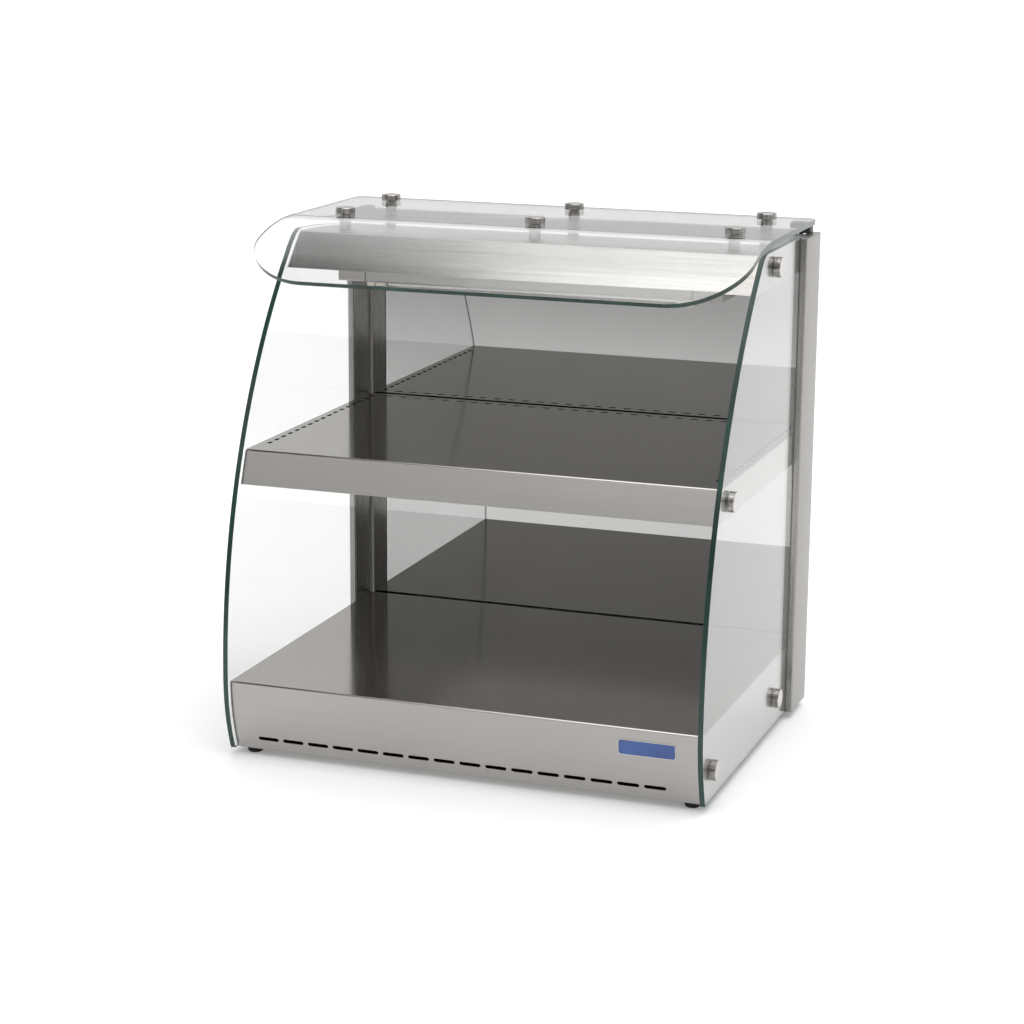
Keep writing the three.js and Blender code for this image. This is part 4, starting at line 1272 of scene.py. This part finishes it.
# ---- CAD nodes that keep their shape
carried_over = {
    "brushed_steel": brushed_x, "polished_steel": polished_x, "dull_steel": dull_x, "chrome": chrome,
    "clear_glass": clear, "mirror": silvered, "rubber": rubber, "black_plastic": black,
    "ceramic": ceramic, "insulation": board, "amber_lens": amber, "quartz": quartz,
}
for node, obj in frame["nodes"].items():
    obj.data.materials.clear()
    obj.data.materials.append(carried_over[slot_of[node]])


# ---- floor, light and camera
FLOOR_HALF = 40.0
FLOOR_PAINTED_FALLOFF = (-3.2, -0.9, 0.5, 0.95)      # depths in front of the case, and the floor's painted shade at each, darker in front as if the light fell off there

# Ramps of the studio's brightness: (axis of view, start, end, value at the start, value at the end)
REAR_WALL = ("Y", -0.7, 0.4, 0.0, 0.87)
UPPER_WALLS = ("Z", 0.3, 0.47, 0.0, 0.94)
LOWER_WALLS = ("Z", 0.2, 0.28, 0.46, 0.26)
LEFT_SCREEN = ("X", -0.42, -0.28, 0.02, 1.0)
SCREEN_DEPTH = ("Y", 0.15, 0.55, 0.0, 1.0)
SCREEN_TOP = ("Z", 0.55, 0.8, 1.0, 0.0)
SKYLINE = ("Z", 0.145, 0.18, 0.58, 1.0)
SKYLINE_DEPTH = ("Y", 0.3, 0.6, 1.0, 0.0)
CEILING = ("Z", 0.72, 0.92, 0.0, 1.12)
CEILING_LEFT = ("X", -0.4, -0.28, 0.0, 1.0)

SOFTBOX_PLACE = (0.4, -0.1, 2.6)
SOFTBOX_AIM = (0.4, -0.1, 0)
SOFTBOX_SIZE = (2.4, 2.0)
SOFTBOX_POWER = 3.6


def make_floor():
    """Pale floor with painted shade, darker well in front of the case, where the steel reflects it, as if the
    light fell off there; a faint painted glow lifts it towards white.
    """
    bm = bmesh.new()
    bmesh.ops.create_grid(bm, x_segments=1, y_segments=1, size=FLOOR_HALF)
    mesh = mesh_from("floor", bm)
    n = Nodes("floor_painted_falloff")
    separate = n.add("ShaderNodeSeparateXYZ")
    n.link(n.place, separate.inputs[0])
    # Painted shade: the floor's colour falls from pale to grey in front of the case, standing in for the light
    # falling off there.
    painted_falloff = map_range(n.tree, separate.outputs["Y"], *FLOOR_PAINTED_FALLOFF, "SMOOTHSTEP")
    n.link(painted_falloff, n.shader.inputs["Base Color"])
    n.link(painted_falloff, n.shader.inputs["Emission Color"])
    # Painted glow: the floor also emits a little light, following its painted shade, which lifts it towards white.
    n.set(roughness=0.9, specular_ior_level=0.1, emission_strength=0.18)
    mesh.materials.append(n.material)
    linked("floor", mesh)


def make_world():
    """A soft studio: bright behind the object and overhead, dimmer low down behind the camera."""
    world = bpy.data.worlds.new("studio")
    scene.world = world
    world.use_nodes = True
    tree = world.node_tree
    background = tree.nodes["Background"]
    coordinates = tree.nodes.new("ShaderNodeTexCoord")
    separate = tree.nodes.new("ShaderNodeSeparateXYZ")
    tree.links.new(coordinates.outputs["Generated"], separate.inputs[0])

    def ramp(axis, *values):
        return map_range(tree, separate.outputs[axis], *values, "SMOOTHSTEP")

    def choose(operation, first, second):
        node = tree.nodes.new("ShaderNodeMath")
        node.operation = operation
        tree.links.new(first, node.inputs[0])
        tree.links.new(second, node.inputs[1])
        return node.outputs[0]

    walls = choose("MAXIMUM", ramp(*REAR_WALL), ramp(*UPPER_WALLS))
    walls = choose("MAXIMUM", walls, ramp(*LOWER_WALLS))
    screen = choose("MAXIMUM", ramp(*LEFT_SCREEN), ramp(*SCREEN_DEPTH))
    screen = choose("MAXIMUM", screen, ramp(*SCREEN_TOP))
    skyline = choose("MAXIMUM", ramp(*SKYLINE), ramp(*SKYLINE_DEPTH))
    studio = choose("MINIMUM", walls, choose("MINIMUM", screen, skyline))
    overhead = choose("MULTIPLY", ramp(*CEILING), ramp(*CEILING_LEFT))
    tree.links.new(choose("ADD", studio, overhead), background.inputs["Strength"])
    background.inputs["Color"].default_value = (1, 1, 1, 1)


def make_softbox():
    data = bpy.data.lights.new("softbox", "AREA")
    data.shape = "RECTANGLE"
    data.size, data.size_y = SOFTBOX_SIZE
    data.energy = SOFTBOX_POWER
    light = linked("softbox", data)
    light.location = SOFTBOX_PLACE
    light.rotation_mode = "QUATERNION"
    light.rotation_quaternion = (Vector(SOFTBOX_AIM) - light.location).to_track_quat("-Z", "Y")


def make_camera():
    data = bpy.data.cameras.new("camera")
    data.lens = CAMERA_LENS
    data.sensor_width = 36
    data.shift_x, data.shift_y = CAMERA_SHIFT
    camera = linked("camera", data)
    level = math.cos(CAMERA_PITCH)
    forward = Vector((-math.sin(CAMERA_YAW) * level, math.cos(CAMERA_YAW) * level, -math.sin(CAMERA_PITCH)))
    right = forward.cross(Vector((0, 0, 1))).normalized()
    up = right.cross(forward)
    tilted = right * math.cos(CAMERA_ROLL) + up * math.sin(CAMERA_ROLL)
    turned_up = up * math.cos(CAMERA_ROLL) - right * math.sin(CAMERA_ROLL)
    basis = Matrix((tilted, turned_up, -forward)).transposed()
    camera.matrix_world = Matrix.Translation(CAMERA_PLACE) @ basis.to_4x4()
    scene.camera = camera


make_floor()
make_world()
make_softbox()
make_camera()
scene.view_settings.view_transform = "Standard"
